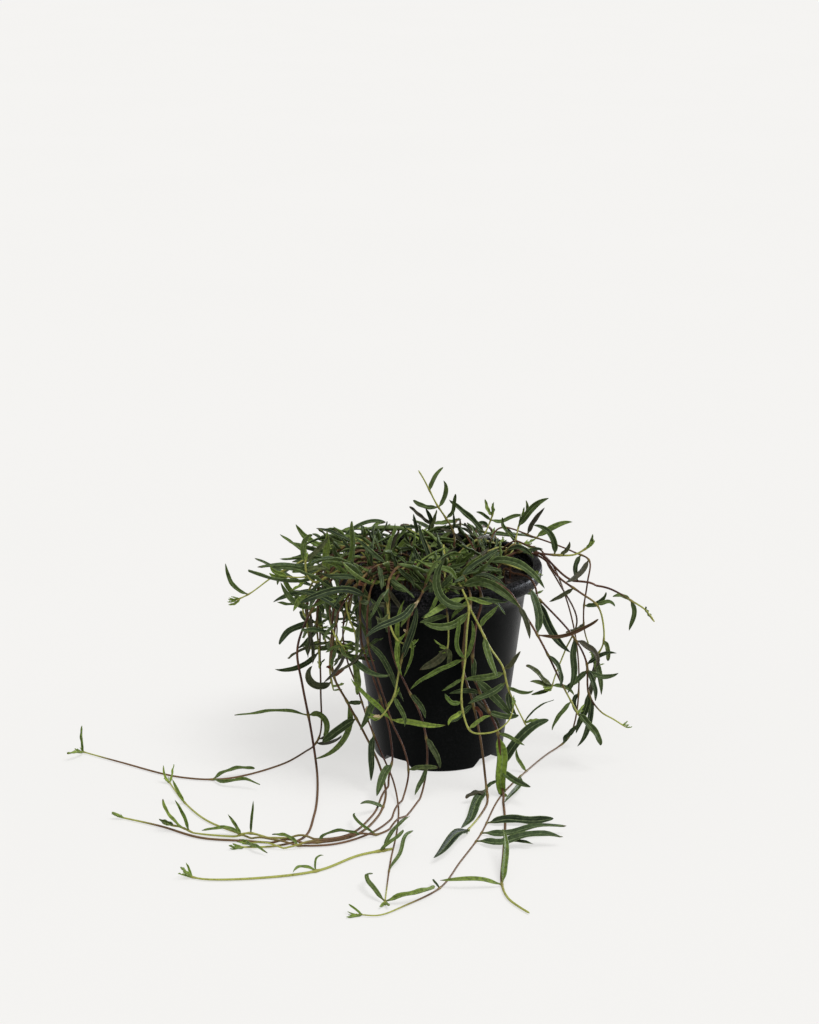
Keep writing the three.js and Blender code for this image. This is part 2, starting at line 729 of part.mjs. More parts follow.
function leafIsClear(leaf, samples, vine) {
  for (const sample of samples) {
    if (insideHolder(sample)) return false;
    if (leaf.low && isKeptBare(sample)) return false;
    const nearBase = sample.distanceTo(leaf.base) < FOOT_FREE;
    for (const other of nearby(sample)) {
      const gap = sample.distanceTo(other.point);
      if (other.vine !== vine) {
        if (gap < LEAF_GAP) return false;
      } else if (gap < OWN_GAP && !nearBase && other.point.distanceTo(leaf.base) > FOOT_FREE) return false;
    }
  }
  return true;
}

function faceOf(base, draw) {
  const face = UP.clone().multiplyScalar(0.8).addScaledVector(outward(base), 0.55);
  face.x += between(draw, -0.6, 0.6);
  face.y += between(draw, -0.6, 0.6);
  face.z += between(draw, -0.3, 0.3);
  return face.normalize();
}

// Grows the first of a few wished leaves that is clear of everything.
function growLeaf(vine, base, wishes) {
  for (const wish of wishes) {
    const leaf = { base, width: leafWidth(wish.length), ...wish };
    const samples = samplesOf(leaf);
    if (!leafIsClear(leaf, samples, vine.index)) continue;
    samples.forEach((sample) => take(sample, vine.index));
    vine.leaves.push(leaf);
    return true;
  }
  return false;
}

function growGivenLeaf(vine, stem, given, draw) {
  const [place, heading, rise, length, curl = 0, turn = 0, width = leafWidth(length)] = given;
  const base = stem.line[indexOfPlace(stem.line, stem.way, place)];
  const wishes = [];
  for (let n = 0; n < LEAF_TRIES; n++) {
    const stray = n * 3;
    wishes.push({
      heading: heading + between(draw, -stray, stray),
      rise: rise + between(draw, -stray, stray),
      length: Math.min(length, LEAF_LONGEST) * (n < 8 ? 1 : 0.8),
      curl,
      turn,
      width,
      face: faceOf(base, draw),
    });
  }
  growLeaf(vine, base, wishes);
}

const CROWN_WEIGHT = 0.5;
const FALL_WEIGHT = 0.4;

// A leaf by rule: it leaves the stem at an angle, spun round it, and leans with its own weight.
function ruleWish(line, index, spin, size, draw, n) {
  const tangent = line[Math.min(line.length - 1, index + 1)].clone().sub(line[index - 1]).normalize();
  const across = new THREE.Vector3().crossVectors(tangent, UP);
  if (across.lengthSq() < 0.05) across.set(1, 0, 0);
  across.normalize();
  const over = new THREE.Vector3().crossVectors(across, tangent);
  const angle = (spin + between(draw, -12 - 5 * n, 12 + 5 * n)) * DEGREE;
  const open = between(draw, 35, 105) * DEGREE;
  const way = tangent.clone().multiplyScalar(Math.cos(open));
  way.addScaledVector(across, Math.sin(open) * Math.cos(angle));
  way.addScaledVector(over, Math.sin(open) * Math.sin(angle));
  const weight = line[index].z > POT_HEIGHT - 8 ? CROWN_WEIGHT : FALL_WEIGHT;
  way.addScaledVector(outward(line[index]), 0.1).addScaledVector(UP, between(draw, -weight, 0.3));
  way.normalize();
  const shrink = n < 6 ? 1 : n < 10 ? 0.8 : 0.62;
  return {
    heading: Math.atan2(way.y, way.x) / DEGREE,
    rise: Math.asin(way.z) / DEGREE,
    length: Math.max(10, between(draw, RULE_SHORTEST, RULE_LONGEST) * size * shrink),
    curl: between(draw, -75, 95),
    turn: between(draw, -60, 60),
    face: faceOf(line[index], draw),
    low: true,
  };
}

function growPair(vine, line, index, spin, size, draw) {
  for (const half of [0, 180]) {
    const wishes = [];
    for (let n = 0; n < LEAF_TRIES; n++) wishes.push(ruleWish(line, index, spin + half, size, draw, n));
    growLeaf(vine, line[index], wishes);
  }
}

const FLOOR_BARE = 12;

function growRuleLeaves(vine, stem, draw) {
  const given = stem.route.leaves.map(([place]) => indexOfPlace(stem.line, stem.way, place));
  const bareBelow = stem.route.bareBelow ?? FLOOR_BARE;
  const tip = stem.line.length - 2;
  let spin = between(draw, 0, 180);
  let index = Math.round(between(draw, 16, 26) / STEM_STEP) + 3;
  while (index <= tip) {
    const point = stem.line[index];
    const free = given.every((other) => Math.abs(other - index) * STEM_STEP > 10);
    const size = Math.min(1, 0.5 + ((tip - index) * STEM_STEP) / 70);
    if (free && point.z > bareBelow) growPair(vine, stem.line, index, spin, size, draw);
    spin += 90;
    index += Math.round((NODE_SPACING * between(draw, 0.75, 1.2)) / STEM_STEP);
  }
  if (stem.line[tip].z > bareBelow) growPair(vine, stem.line, tip, spin, 0.45, draw);
}

// Grows every vine: first all stems, then the leaves seen in place, then the rest.
function growPlant() {
  const draw = seeded(PLANT_SEED);
  const routes = [...ROUTES];
  FALLS.forEach((_, n) => routes.push(fallRoute(n, draw)));
  for (let n = 0; n < CROWN_STEMS; n++) routes.push(crownRoute(n, draw));
  const vines = routes.map((route, index) => {
    const main = rootedStem(route, index, draw);
    main.line.forEach((point) => take(point, index));
    const stems = [main];
    if (route.branch) {
      const side = branchStem(main, route.branch, index);
      side.line.forEach((point) => take(point, index));
      stems.push(side);
    }
    return { index, name: route.name, tone: route.tone, stems, leaves: [] };
  });
  for (const vine of vines)
    for (const stem of vine.stems) stem.route.leaves.forEach((leaf) => growGivenLeaf(vine, stem, leaf, draw));
  for (const vine of vines) for (const stem of vine.stems) growRuleLeaves(vine, stem, draw);
  return vines;
}

// A closed surface over rings of equally many points, between two end points.
function loft(start, rings, end) {
  const sides = rings[0].length;
  const points = [...rings.flat(), start, end];
  const foot = points.length - 2;
  const tip = points.length - 1;
  const faces = [];
  for (let n = 0; n < sides; n++) faces.push(foot, (n + 1) % sides, n);
  for (let ring = 0; ring < rings.length - 1; ring++)
    for (let n = 0; n < sides; n++) {
      const next = (n + 1) % sides;
      const a = ring * sides;
      const b = a + sides;
      faces.push(a + n, a + next, b + n, a + next, b + next, b + n);
    }
  const final = (rings.length - 1) * sides;
  for (let n = 0; n < sides; n++) faces.push(final + n, final + ((n + 1) % sides), tip);
  const geometry = new THREE.BufferGeometry().setFromPoints(points);
  geometry.setIndex(faces);
  return geometry;
}

function solidOf(geometry) {
  const plain = geometry.clone();
  plain.deleteAttribute("normal");
  plain.deleteAttribute("uv");
  const merged = mergeVertices(plain);
  return new wasm.Manifold(
    new wasm.Mesh({
      numProp: 3,
      vertProperties: new Float32Array(merged.getAttribute("position").array),
      triVerts: new Uint32Array(merged.index.array),
    }),
  );
}

function geometryOf(solid) {
  const mesh = solid.getMesh();
  const geometry = new THREE.BufferGeometry();
  geometry.setAttribute("position", new THREE.BufferAttribute(mesh.vertProperties, 3));
  geometry.setIndex(new THREE.BufferAttribute(mesh.triVerts, 1));
  geometry.computeVertexNormals();
  return geometry;
}

const STRAIGHT_WITHIN = 0.45;
const LONGEST_SPAN = 36;

// Places along a line that keep it within a small distance of the straight spans between them.
function stations(line) {
  const last = line.length - 2;
  const kept = [0];
  while (kept[kept.length - 1] < last) {
    const start = kept[kept.length - 1];
    let end = start + 1;
    while (end < last && (end + 1 - start) * STEM_STEP <= LONGEST_SPAN) {
      const span = new THREE.Line3(line[start], line[end + 1]);
      const near = new THREE.Vector3();
      const strays = line
        .slice(start + 1, end + 1)
        .some((point) => span.closestPointToPoint(point, true, near).distanceTo(point) > STRAIGHT_WITHIN);
      if (strays) break;
      end++;
    }
    kept.push(end);
  }
  return kept;
}

function stemSolid(line) {
  const kept = stations(line);
  const tip = line.length - 1;
  let side = new THREE.Vector3(1, 1, 0).normalize();
  const rings = kept.map((index) => {
    const ahead = line[Math.min(tip, index + 1)];
    const behind = line[Math.max(0, index - 1)];
    const along = ahead.clone().sub(behind).normalize();
    side.addScaledVector(along, -side.dot(along)).normalize();
    const other = new THREE.Vector3().crossVectors(along, side);
    const radius = mix(STEM_RADIUS, STEM_TIP_RADIUS, index / tip);
    return Array.from({ length: STEM_SIDES }, (_, n) => {
      const angle = (n * 2 * Math.PI) / STEM_SIDES;
      return line[index]
        .clone()
        .addScaledVector(side, radius * Math.cos(angle))
        .addScaledVector(other, radius * Math.sin(angle));
    });
  });
  return solidOf(loft(line[0], rings, line[tip]));
}

const SHORT_RINGS = [1, 7];
const FEW_RINGS = [1, 5, 11];
const MORE_RINGS = [1, 4, 8, 12];
const SHORT_LEAF = 23;
const SUNK = 0.2;
const BENT_LEAF = 65;

// A narrow blade with a flat top between two sharp edges and a keel below.
function leafSolid(leaf) {
  const { points, sides } = midrib(leaf);
  const bent = Math.abs(leaf.curl) + Math.abs(leaf.turn) > BENT_LEAF;
  const isShort = leaf.length < SHORT_LEAF;
  const straightRings = isShort ? SHORT_RINGS : FEW_RINGS;
  const bentRings = isShort ? FEW_RINGS : MORE_RINGS;
  const rings = (bent ? bentRings : straightRings).map((n) => {
    const along = points[n + 1].clone().sub(points[n]).normalize();
    const under = new THREE.Vector3().crossVectors(along, sides[n]).normalize();
    const half = halfWidth(n / LEAF_STEPS, leaf.width);
    return [
      points[n].clone().addScaledVector(sides[n], half),
      points[n].clone().addScaledVector(under, LEAF_THICK * Math.min(1, 0.6 + n / LEAF_STEPS)),
      points[n].clone().addScaledVector(sides[n], -half),
    ];
  });
  const sunk = points[0].clone().addScaledVector(points[1].clone().sub(points[0]).normalize(), -SUNK);
  return solidOf(loft(sunk, rings, points[LEAF_STEPS]));
}

function vineMesh(vine) {
  let solid = stemSolid(vine.stems[0].line);
  vine.stems.slice(1).forEach((stem) => (solid = solid.add(stemSolid(stem.line))));
  vine.leaves.forEach((leaf) => (solid = solid.add(leafSolid(leaf))));
  const material = new THREE.MeshStandardMaterial({ color: TONES[vine.tone], roughness: 0.5, metalness: 0 });
  const mesh = new THREE.Mesh(geometryOf(solid), material);
  mesh.name = vine.name;
  return mesh;
}

function turned(profile, sides) {
  const points = profile.map(([radius, z]) => new THREE.Vector2(radius, z));
  return new THREE.LatheGeometry(points, sides).rotateX(Math.PI / 2);
}

function potMesh() {
  const footInner = BASE_RADIUS - FOOT_WIDTH;
  const innerFloor = potRadius(POT_FLOOR) - WALL;
  const profile = [
    [0, 0],
    [BOSS_RADIUS, 0],
    [BOSS_RADIUS, FOOT_HEIGHT],
    [footInner, FOOT_HEIGHT],
    [footInner, 0],
    [BASE_RADIUS - 0.9, 0],
    [potRadius(1), 1],
    [SHOULDER_RADIUS, SHOULDER],
    [RIM_RADIUS - 1.4, SHOULDER + 6.5],
    [RIM_RADIUS, SHOULDER + 9],
    [RIM_RADIUS, POT_HEIGHT - 3.2],
    [RIM_RADIUS - 1.4, POT_HEIGHT - 0.6],
    [RIM_RADIUS - 3.6, POT_HEIGHT],
    [LIP_INNER + 0.8, POT_HEIGHT - 0.8],
    [LIP_INNER, POT_HEIGHT - 4],
    [INNER_SHOULDER, SHOULDER],
    [innerFloor, POT_FLOOR],
    [0, POT_FLOOR],
  ];
  let solid = solidOf(turned(profile, POT_SIDES));
  const drain = new THREE.BoxGeometry(FOOT_WIDTH + 8, DRAIN_WIDTH, FOOT_HEIGHT + 2);
  drain.translate(footInner - 3 + (FOOT_WIDTH + 8) / 2, 0, FOOT_HEIGHT - (FOOT_HEIGHT + 2) / 2);
  for (let n = 0; n < DRAIN_COUNT; n++) {
    const azimuth = (DRAIN_START + (n * 360) / DRAIN_COUNT) * DEGREE;
    solid = solid.subtract(solidOf(drain.clone().rotateZ(azimuth)));
  }
  const material = new THREE.MeshStandardMaterial({ color: 0x15171a, roughness: 0.45, metalness: 0 });
  const mesh = new THREE.Mesh(geometryOf(solid), material);
  mesh.name = "pot";
  return mesh;
}

const SOIL_RINGS = [46, 32, 16];
const HOLE_TURN = (135 * Math.PI) / 180;

function soilMesh(spots) {
  const draw = seeded(SOIL_SEED);
  const profile = [
    [0, POT_FLOOR + SOIL_GAP],
    [potRadius(POT_FLOOR) - WALL - SOIL_GAP, POT_FLOOR + SOIL_GAP],
    [INNER_SHOULDER - SOIL_GAP, SHOULDER],
    [INNER_SHOULDER + 1.2, SHOULDER + 4],
    ...SOIL_RINGS.map((radius) => [radius, SOIL_TOP]),
    [0, SOIL_TOP],
  ];
  const geometry = turned(profile, SOIL_SIDES);
  const place = geometry.getAttribute("position");
  const lumps = new Map();
  for (let n = 0; n < place.count; n++) {
    if (place.getZ(n) < SOIL_TOP - 0.1) continue;
    const key = `${Math.round(place.getX(n) * 10)} ${Math.round(place.getY(n) * 10)}`;
    if (!lumps.has(key)) lumps.set(key, between(draw, -SOIL_LUMP, SOIL_LUMP));
    place.setZ(n, SOIL_TOP + lumps.get(key));
  }
  let solid = solidOf(geometry);
  const depth = ROOT_DEPTH + 4;
  const hole = new THREE.CylinderGeometry(HOLE_RADIUS, HOLE_RADIUS, depth, STEM_SIDES);
  hole.rotateX(Math.PI / 2).rotateZ(HOLE_TURN).translate(0, 0, depth / 2 - ROOT_DEPTH - 0.5);
  for (const spot of spots) solid = solid.subtract(solidOf(hole.clone().translate(spot.x, spot.y, spot.z)));
  const material = new THREE.MeshStandardMaterial({ color: 0x2a2019, roughness: 0.95, metalness: 0 });
  const mesh = new THREE.Mesh(geometryOf(solid), material);
  mesh.name = "soil";
  return mesh;
}

const plant = growPlant();
const root = new THREE.Group();
root.add(potMesh(), soilMesh(plant.map((vine) => vine.stems[0].spot)));
plant.forEach((vine) => root.add(vineMesh(vine)));

export default root;
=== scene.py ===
# Potted string of needles: fine stems, fleshy leaves, the moulded pot and its bark mix, around the
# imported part. The plant grows by the part's own rule, in millimetres, and turns to metres in the meshes.
import math

import bmesh
import bpy
from mathutils import Matrix, Vector, noise


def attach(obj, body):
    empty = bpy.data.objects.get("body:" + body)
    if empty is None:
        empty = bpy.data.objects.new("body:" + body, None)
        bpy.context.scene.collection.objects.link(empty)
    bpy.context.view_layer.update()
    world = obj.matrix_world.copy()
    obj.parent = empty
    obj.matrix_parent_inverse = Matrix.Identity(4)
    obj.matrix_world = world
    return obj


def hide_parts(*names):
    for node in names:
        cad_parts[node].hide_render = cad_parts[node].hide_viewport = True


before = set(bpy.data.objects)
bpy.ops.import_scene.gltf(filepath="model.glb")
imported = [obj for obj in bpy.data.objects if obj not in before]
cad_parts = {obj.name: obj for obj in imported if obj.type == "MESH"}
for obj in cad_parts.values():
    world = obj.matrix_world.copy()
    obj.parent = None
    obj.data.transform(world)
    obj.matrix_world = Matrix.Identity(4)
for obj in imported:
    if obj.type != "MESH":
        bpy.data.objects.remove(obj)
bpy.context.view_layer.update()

MM = 0.001
DEGREE = math.pi / 180
UP = (0.0, 0.0, 1.0)

# Pot
POT_HEIGHT = 125
RIM_RADIUS = 65
BASE_RADIUS = 41
WALL = 1.5
COLLAR_HEIGHT = 16
SHOULDER_RADIUS = 54.8
FOOT_HEIGHT = 5.5
FOOT_WIDTH = 10
BOSS_RADIUS = 14
FLOOR = 2
LIP_WIDTH = 6.2
DRAIN_COUNT = 4
DRAIN_WIDTH = 22
DRAIN_START = -40
SHOULDER = POT_HEIGHT - COLLAR_HEIGHT
INNER_SHOULDER = SHOULDER_RADIUS - WALL
LIP_INNER = RIM_RADIUS - LIP_WIDTH
POT_FLOOR = FOOT_HEIGHT + FLOOR

# Soil
SOIL_TOP = 114
SOIL_GAP = 0.6
SOIL_LUMP = 1.5
ROOT_DEPTH = 9
ROOT_SPOTS = 66
ROOT_REACH = 49

# Stems
STEM_STEP = 3
STEM_GAP = 3.2
STEM_REST = 1.25
SHAFT = 4
SETTLE_PASSES = 30
PLANT_SEED = 20417

# Leaves
LEAF_STEPS = 16
LEAF_GAP = 3.2
OWN_GAP = 1.7
LEAF_LONGEST = 54
RULE_LONGEST = 46
RULE_SHORTEST = 21
LEAF_THICK = 1.25
LEAF_REST = 1.7
NODE_SPACING = 23
LEAF_TRIES = 14

# The visible stems. way: points that the stem passes after it leaves the soil. leaves: [place along
# way, heading, rise, length, curl, turn, width], with the angles in degrees; curl bends a leaf
# downwards and turn bends it anticlockwise seen from above.
ROUTES = [
    {
        "name": "vine_far_left_runner", "tone": "dark", "bare_below": 105,
        "way": [
            [-64, -8, 134], [-73, -5, 111], [-75, -4, 74], [-75, -2, 40], [-76, 0, 8], [-81, -5, 0],
            [-98, -32, 0], [-132, -56, 0], [-160, -54, 0], [-201, -30, 0], [-229, -12, 0],
        ],
        "leaves": [
            [4.2, -20, 35, 24, -50], [4.5, -30, 25, 22, -50], [7.3, 25, 5, 29, 50, -20],
            [7.3, -25, 5, 35, 30, 40], [10, 180, 90, 18, -30], [10, 180, 45, 14, -70],
            [10, -125, 15, 17, 30, -60],
        ],
    },
    {
        "name": "vine_left_fall", "tone": "dark", "bare_below": 100,
        "way": [
            [-62, -25, 126], [-73, -28, 112], [-84, -28, 91], [-88, -28, 75], [-85, -30, 54],
            [-80, -36, 29], [-76, -46, 7], [-74, -70, 0], [-74, -111, 0], [-79, -144, 0], [-94, -155, 0],
            [-115, -157, 0],
        ],
        "leaves": [[4.7, 180, 0, 47, 30, 0, 2.8], [4.7, -20, -50, 24, 160, 0, 3.6]],
    },
    {
        "name": "vine_bundle_a", "tone": "dark", "bare_below": 88,
        "way": [
            [-54, -40, 127], [-62, -45, 105], [-65, -48, 69], [-56, -50, 50], [-46, -54, 32],
            [-36, -62, 13], [-32, -74, 0], [-36, -113, 0], [-51, -142, 0], [-80, -151, 0],
            [-115, -148, 0], [-139, -144, 0], [-164, -128, 0], [-190, -115, 0],
        ],
        "leaves": [
            [2.9, 180, -62, 50, -100, 0, 4.4], [8.7, 10, 5, 37, 40, -110], [9, -55, 5, 36, 30],
            [9.9, -45, 5, 24, 40, 60], [13, 180, 30, 8, -20], [6.6, -140, 10, 21, 50],
        ],
    },
    {
        "name": "vine_bundle_b", "tone": "dark", "bare_below": 65,
        "way": [
            [-49, -46, 126], [-58, -54, 102], [-56, -56, 81], [-50, -58, 64], [-44, -60, 45],
            [-36, -66, 26], [-28, -72, 9], [-24, -95, 0], [-24, -132, 0], [-27, -176, 0], [-29, -230, 0],
        ],
        "leaves": [
            [4.6, -80, -80, 36, 20], [5.5, -35, -45, 34, -80], [10, 105, 5, 34, 60, -90],
            [10, 25, 5, 35, 50, 90], [9.2, 75, 2, 50, 30],
        ],
        "branch": {
            "from": 8.6, "green": 400,
            "way": [
                [-45, -167, 0], [-68, -188, 0], [-100, -198, 0], [-131, -200, 0], [-141, -196, 0],
            ],
            "leaves": [
                [2, 75, 15, 16, 90, -90], [2, -145, 10, 18, 70, 80], [0.4, 5, 5, 28, 50, 90],
                [0.3, 70, 5, 44, 20, -20], [5, 150, 30, 9, 10], [5, -170, 20, 10, 10],
            ],
        },
    },
    {
        "name": "vine_bundle_c", "tone": "mid", "bare_below": 66, "green": 130,
        "way": [
            [-40, -54, 128], [-43, -62, 95], [-38, -64, 75], [-32, -66, 56], [-28, -67, 43],
            [-21, -70, 28], [-18, -74, 14], [-21, -83, 0], [-27, -114, 0], [-41, -138, 0], [-63, -153, 0],
            [-98, -151, 0], [-119, -136, 0], [-137, -120, 0], [-153, -94, 0], [-167, -60, 0],
        ],
        "leaves": [
            [1, -20, -45, 43, 20, 0, 4.2], [3.9, -32, 8, 40, -20, 0, 3.6], [3.9, -165, 50, 38, -10, 0, 4],
            [6, -30, 15, 22], [6.3, -120, -50, 28, 60], [10.5, 165, 10, 18, 70, 20],
            [11.8, 180, 5, 24, 50, 20], [15, 150, 60, 12, -60], [15, 60, 40, 12, -20],
            [14, 180, 65, 17, -10],
        ],
    },
    {
        "name": "vine_bundle_d", "tone": "mid", "bare_below": 115,
        "way": [
            [-29, -60, 126], [-30, -69, 104], [-26, -70, 84], [-18, -71, 66], [-11, -71, 51],
            [-7, -72, 33], [-7, -75, 16], [-11, -86, 0], [-20, -114, 0], [-34, -137, 0], [-57, -146, 0],
            [-88, -158, 0], [-112, -151, 0],
        ],
        "leaves": [
            [4.9, -40, -60, 21, 70], [5.9, -120, -50, 20, -20], [9.1, 120, 5, 31, 60, -90],
            [3.1, -45, -45, 18, 70],
        ],
    },
    {
        "name": "vine_bundle_e", "tone": "mid", "bare_below": 66, "green": 90,
        "way": [
            [-45, -50, 126], [-47, -57, 93], [-41, -58, 73], [-35, -60, 55], [-30, -62, 37],
            [-28, -70, 17], [-31, -75, 0], [-40, -122, 0], [-58, -143, 0], [-86, -144, 0],
            [-134, -140, 0], [-158, -132, 0],
        ],
        "leaves": [
            [9.6, -180, 60, 15, 10], [9.5, 0, 85, 21], [10.5, 180, 70, 21, 10], [10.6, 180, 40, 29, -60],
            [3, -155, -55, 23, 40], [5, -135, -60, 32, 50], [11, 170, 20, 10],
        ],
    },
    {
        "name": "vine_right_runner", "tone": "dark", "bare_below": 125, "green": 40,
        "way": [
            [68, 22, 122], [82, 22, 93], [90, 18, 54], [89, 10, 19], [84, 3, 6], [75, -5, 0],
            [56, -40, 0], [38, -82, 0], [25, -138, 0], [13, -175, 0], [1, -210, 0], [-18, -232, 0],
            [-32, -244, 0], [-44, -243, 0],
        ],
        "leaves": [
            [6, 150, 30, 20, -60], [6.2, -100, 2, 54, 10, -10, 4], [7.7, 22, 6, 43, 20],
            [7.95, 2, 9, 52, 20, 50], [8.25, -12, 5, 52, 20, 40], [2.6, 0, -85, 17, -100],
            [4.5, 0, 55, 18], [10, 115, 10, 23, 90, -90], [13, 170, 15, 9],
        ],
    },
    {
        "name": "vine_right_front_fall", "tone": "dark", "bare_below": 100,
        "way": [
            [18, -58, 127], [16, -62, 102], [15, -62, 78], [21, -66, 57], [26, -72, 34], [29, -74, 10],
            [30, -90, 0], [25, -111, 0], [17, -133, 0],
        ],
        "leaves": [
            [5.4, -104, -5, 54, 10], [8, -115, 5, 52, 20, -20], [5.6, -155, 5, 16, 70],
            [5.3, -15, 40, 9, 30], [3, -160, -30, 20, -50], [2.7, -15, -42, 28, 20],
        ],
    },
    {
        "name": "vine_strap_fall", "tone": "mid", "bare_below": 66,
        "way": [
            [25, -58, 125], [22, -65, 100], [21, -66, 76], [30, -70, 54], [36, -74, 41], [38, -75, 21],
            [39, -74, 0], [40, -119, 0], [38, -162, 0], [36, -204, 0], [39, -222, 0], [45, -233, 0],
            [50, -240, 0],
        ],
        "leaves": [
            [4.1, -85, -80, 44, 5, 0, 4.6], [4.1, -15, -20, 18, 20], [5.3, 0, 45, 45, 70],
            [5.2, -50, -5, 28, -30], [9, 180, 5, 37, 40, -60], [9, 80, 5, 50, 20, 20],
            [7.3, -55, 5, 43, 60, 120], [3, -15, 10, 20, -70], [2.6, 175, 5, 19, 20],
            [1.6, -60, -78, 17, -20], [3.1, -25, -60, 17, 30],
        ],
    },
    {
        "name": "vine_yellow_front", "tone": "young", "bare_below": 200,
        "way": [
            [3, 10, 133], [5, -12, 126], [10, -40, 128], [15, -66, 127], [18, -74, 121], [17, -77, 106],
            [16, -78, 88], [14, -79, 68], [15, -79, 55], [20, -80, 43], [29, -80, 42], [36, -80, 44],
            [43, -78, 50], [46, -76, 60],
        ],
        "leaves": [
            [3.9, -175, 40, 54, -130, 0, 6], [4.2, -170, 0, 34, -100], [6, -175, -30, 38, 30, 0, 4],
            [6, -150, 80, 28, -60, 0, 3.4], [5.9, -35, 80, 27, -50, 0, 3], [7.4, -165, 30, 14, -90],
            [8, -165, -45, 13, 60], [8.9, -10, 35, 17, 30],
        ],
        "branch": {
            "from": 4, "bare_below": 200,
            "way": [
                [24, -76, 110], [31, -74, 95], [39, -70, 81], [42, -69, 68], [47, -68, 56], [54, -66, 41],
            ],
            "leaves": [
                [1.5, -25, -70, 27, -20], [3, -10, 50, 16, -30], [4, -10, -5, 17, -70],
                [6, 0, 40, 24, 50], [1.2, 25, 45, 17, 30],
            ],
        },
    },
    {
        "name": "vine_cut_front", "tone": "mid", "bare_below": 200,
        "way": [
            [-8, -58, 129], [-12, -72, 124], [-17, -73, 116], [-19, -73, 105], [-21, -74, 93],
            [-24, -74, 78], [-27, -74, 63], [-33, -74, 52], [-37, -74, 48],
        ],
        "leaves": [[4.9, -35, 85, 46, 40], [4.4, -20, 75, 37, -20], [6, -20, -55, 20, 60]],
    },
    {
        "name": "vine_middle_fall", "tone": "dark", "bare_below": 200,
        "way": [
            [1, -66, 130], [5, -72, 117], [6, -72, 99], [5, -72, 91],
        ],
        "leaves": [[3, -165, -40, 22, -30, 0, 4.8], [3, -30, -60, 17, 50]],
    },
    {
        "name": "vine_right_arch_a", "tone": "dark", "bare_below": 200,
        "way": [
            [37, -52, 127], [50, -48, 111], [60, -45, 94], [68, -43, 78], [77, -40, 58], [83, -38, 46],
            [88, -36, 36],
        ],
        "leaves": [
            [2, -125, 75, 34, 50], [2, 0, 15, 40, -50], [3, -25, -65, 23, 70], [0.9, -40, -65, 22, 40],
            [6, -10, -55, 26, 40], [5, -150, -50, 22, 40],
        ],
    },
    {
        "name": "vine_right_arch_b", "tone": "dark", "bare_below": 200,
        "way": [
            [55, -34, 119], [66, -34, 108], [83, -32, 88], [92, -30, 70], [94, -30, 49], [102, -28, 36],
            [110, -28, 31], [118, -26, 25],
        ],
        "leaves": [
            [0.7, -25, -55, 39, -60], [2, -130, -75, 37, -40], [2.2, -10, -55, 25, 110],
            [3.1, -5, 25, 21, 60], [3.2, -5, -5, 21, -80], [3.3, -45, -70, 21, 50],
            [3.2, -165, -30, 19, -50], [4.1, -165, -75, 35, -70], [4, -150, -65, 28, -20],
        ],
    },
    {
        "name": "vine_right_arch_c", "tone": "dark", "bare_below": 200,
        "way": [
            [38, 24, 140], [61, 18, 136], [86, 12, 128], [95, 8, 124], [94, 6, 110], [92, 6, 92],
            [93, 6, 77], [97, 4, 65], [100, 2, 54],
        ],
        "leaves": [
            [3, -165, -55, 30, -45], [2.5, -150, -65, 19, 80], [5.7, -165, -10, 18, -60],
            [4.8, -10, 35, 19, -90], [7, -60, -75, 30, 40], [8, -120, -70, 26, -30], [1, 10, 20, 26, 60],
        ],
    },
    {
        "name": "vine_thin_right", "tone": "dark", "bare_below": 200,
        "way": [
            [56, 12, 130], [65, 10, 127], [83, 6, 112], [108, 6, 106], [122, 6, 98], [131, 6, 92],
            [137, 6, 84],
        ],
        "leaves": [[3.9, 0, -90, 21, 40], [3.9, -170, 15, 13, 60], [6, 180, 55, 9, -40]],
    },
    {
        "name": "vine_ring_right", "tone": "mid", "bare_below": 200,
        "way": [
            [59, 6, 129], [67, 2, 126], [76, 0, 115], [89, -2, 106], [100, -4, 98], [104, -4, 85],
            [104, -4, 72], [100, -4, 64],
        ],
        "leaves": [
            [2.7, -165, -25, 18, -30], [5.8, -40, -75, 14, 50], [4, 0, -5, 13, 90], [7, -120, -60, 12],
        ],
    },
    {
        "name": "vine_red_right", "tone": "dark", "bare_below": 200,
        "way": [
            [52, 4, 130], [63, 0, 131], [74, 0, 130], [85, -2, 131], [94, -4, 137],
        ],
        "leaves": [[1.9, 180, 55, 27, 100], [2.2, 0, 55, 12, -80], [4, 0, 65, 11, -50]],
    },
    {
        "name": "vine_thin_left", "tone": "young", "bare_below": 200,
        "way": [
            [-69, 18, 130], [-88, 15, 120], [-104, 12, 112], [-120, 8, 101], [-129, 6, 97],
        ],
        "leaves": [
            [0.2, -180, 40, 25, -50], [0.4, -170, -10, 28, -80], [1.7, -20, -50, 27, -80],
            [3, 180, 55, 27, -70], [4, 180, -30, 9, -60],
        ],
    },
    {
        "name": "vine_yellow_left", "tone": "young", "bare_below": 200,
        "way": [
            [-50, 6, 130], [-67, -10, 127], [-83, -12, 119], [-97, -12, 119],
        ],
        "leaves": [[3, 180, 35, 14, -60], [3, -170, 15, 13, -70], [2, -160, -35, 14, -60]],
    },
    {
        "name": "vine_left_up", "tone": "mid", "bare_below": 200,
        "way": [
            [-65, -30, 127], [-76, -32, 122], [-81, -32, 127], [-82, -32, 138],
        ],
        "leaves": [[3, 0, 75, 20, 90], [3, 0, 50, 22, -20], [2.3, -15, 5, 17, 80], [1, 180, 20, 30, 60]],
    },
    {
        "name": "vine_left_hang_a", "tone": "dark", "bare_below": 66,
        "way": [
            [-60, -22, 133], [-72, -22, 115], [-76, -20, 92], [-75, -18, 73], [-75, -16, 60],
        ],
        "leaves": [
            [2, -170, -30, 29, 60, 0, 5], [2.6, -170, 55, 26, -100, 0, 4.6],
            [3.1, -170, -20, 32, -70, 0, 3.8], [3, -10, 5, 26, 60, 0, 4.6],
        ],
    },
    {
        "name": "vine_left_hang_b", "tone": "dark", "bare_below": 62,
        "way": [
            [-53, -42, 127], [-62, -44, 108], [-66, -44, 85], [-67, -42, 67], [-65, -42, 55],
        ],
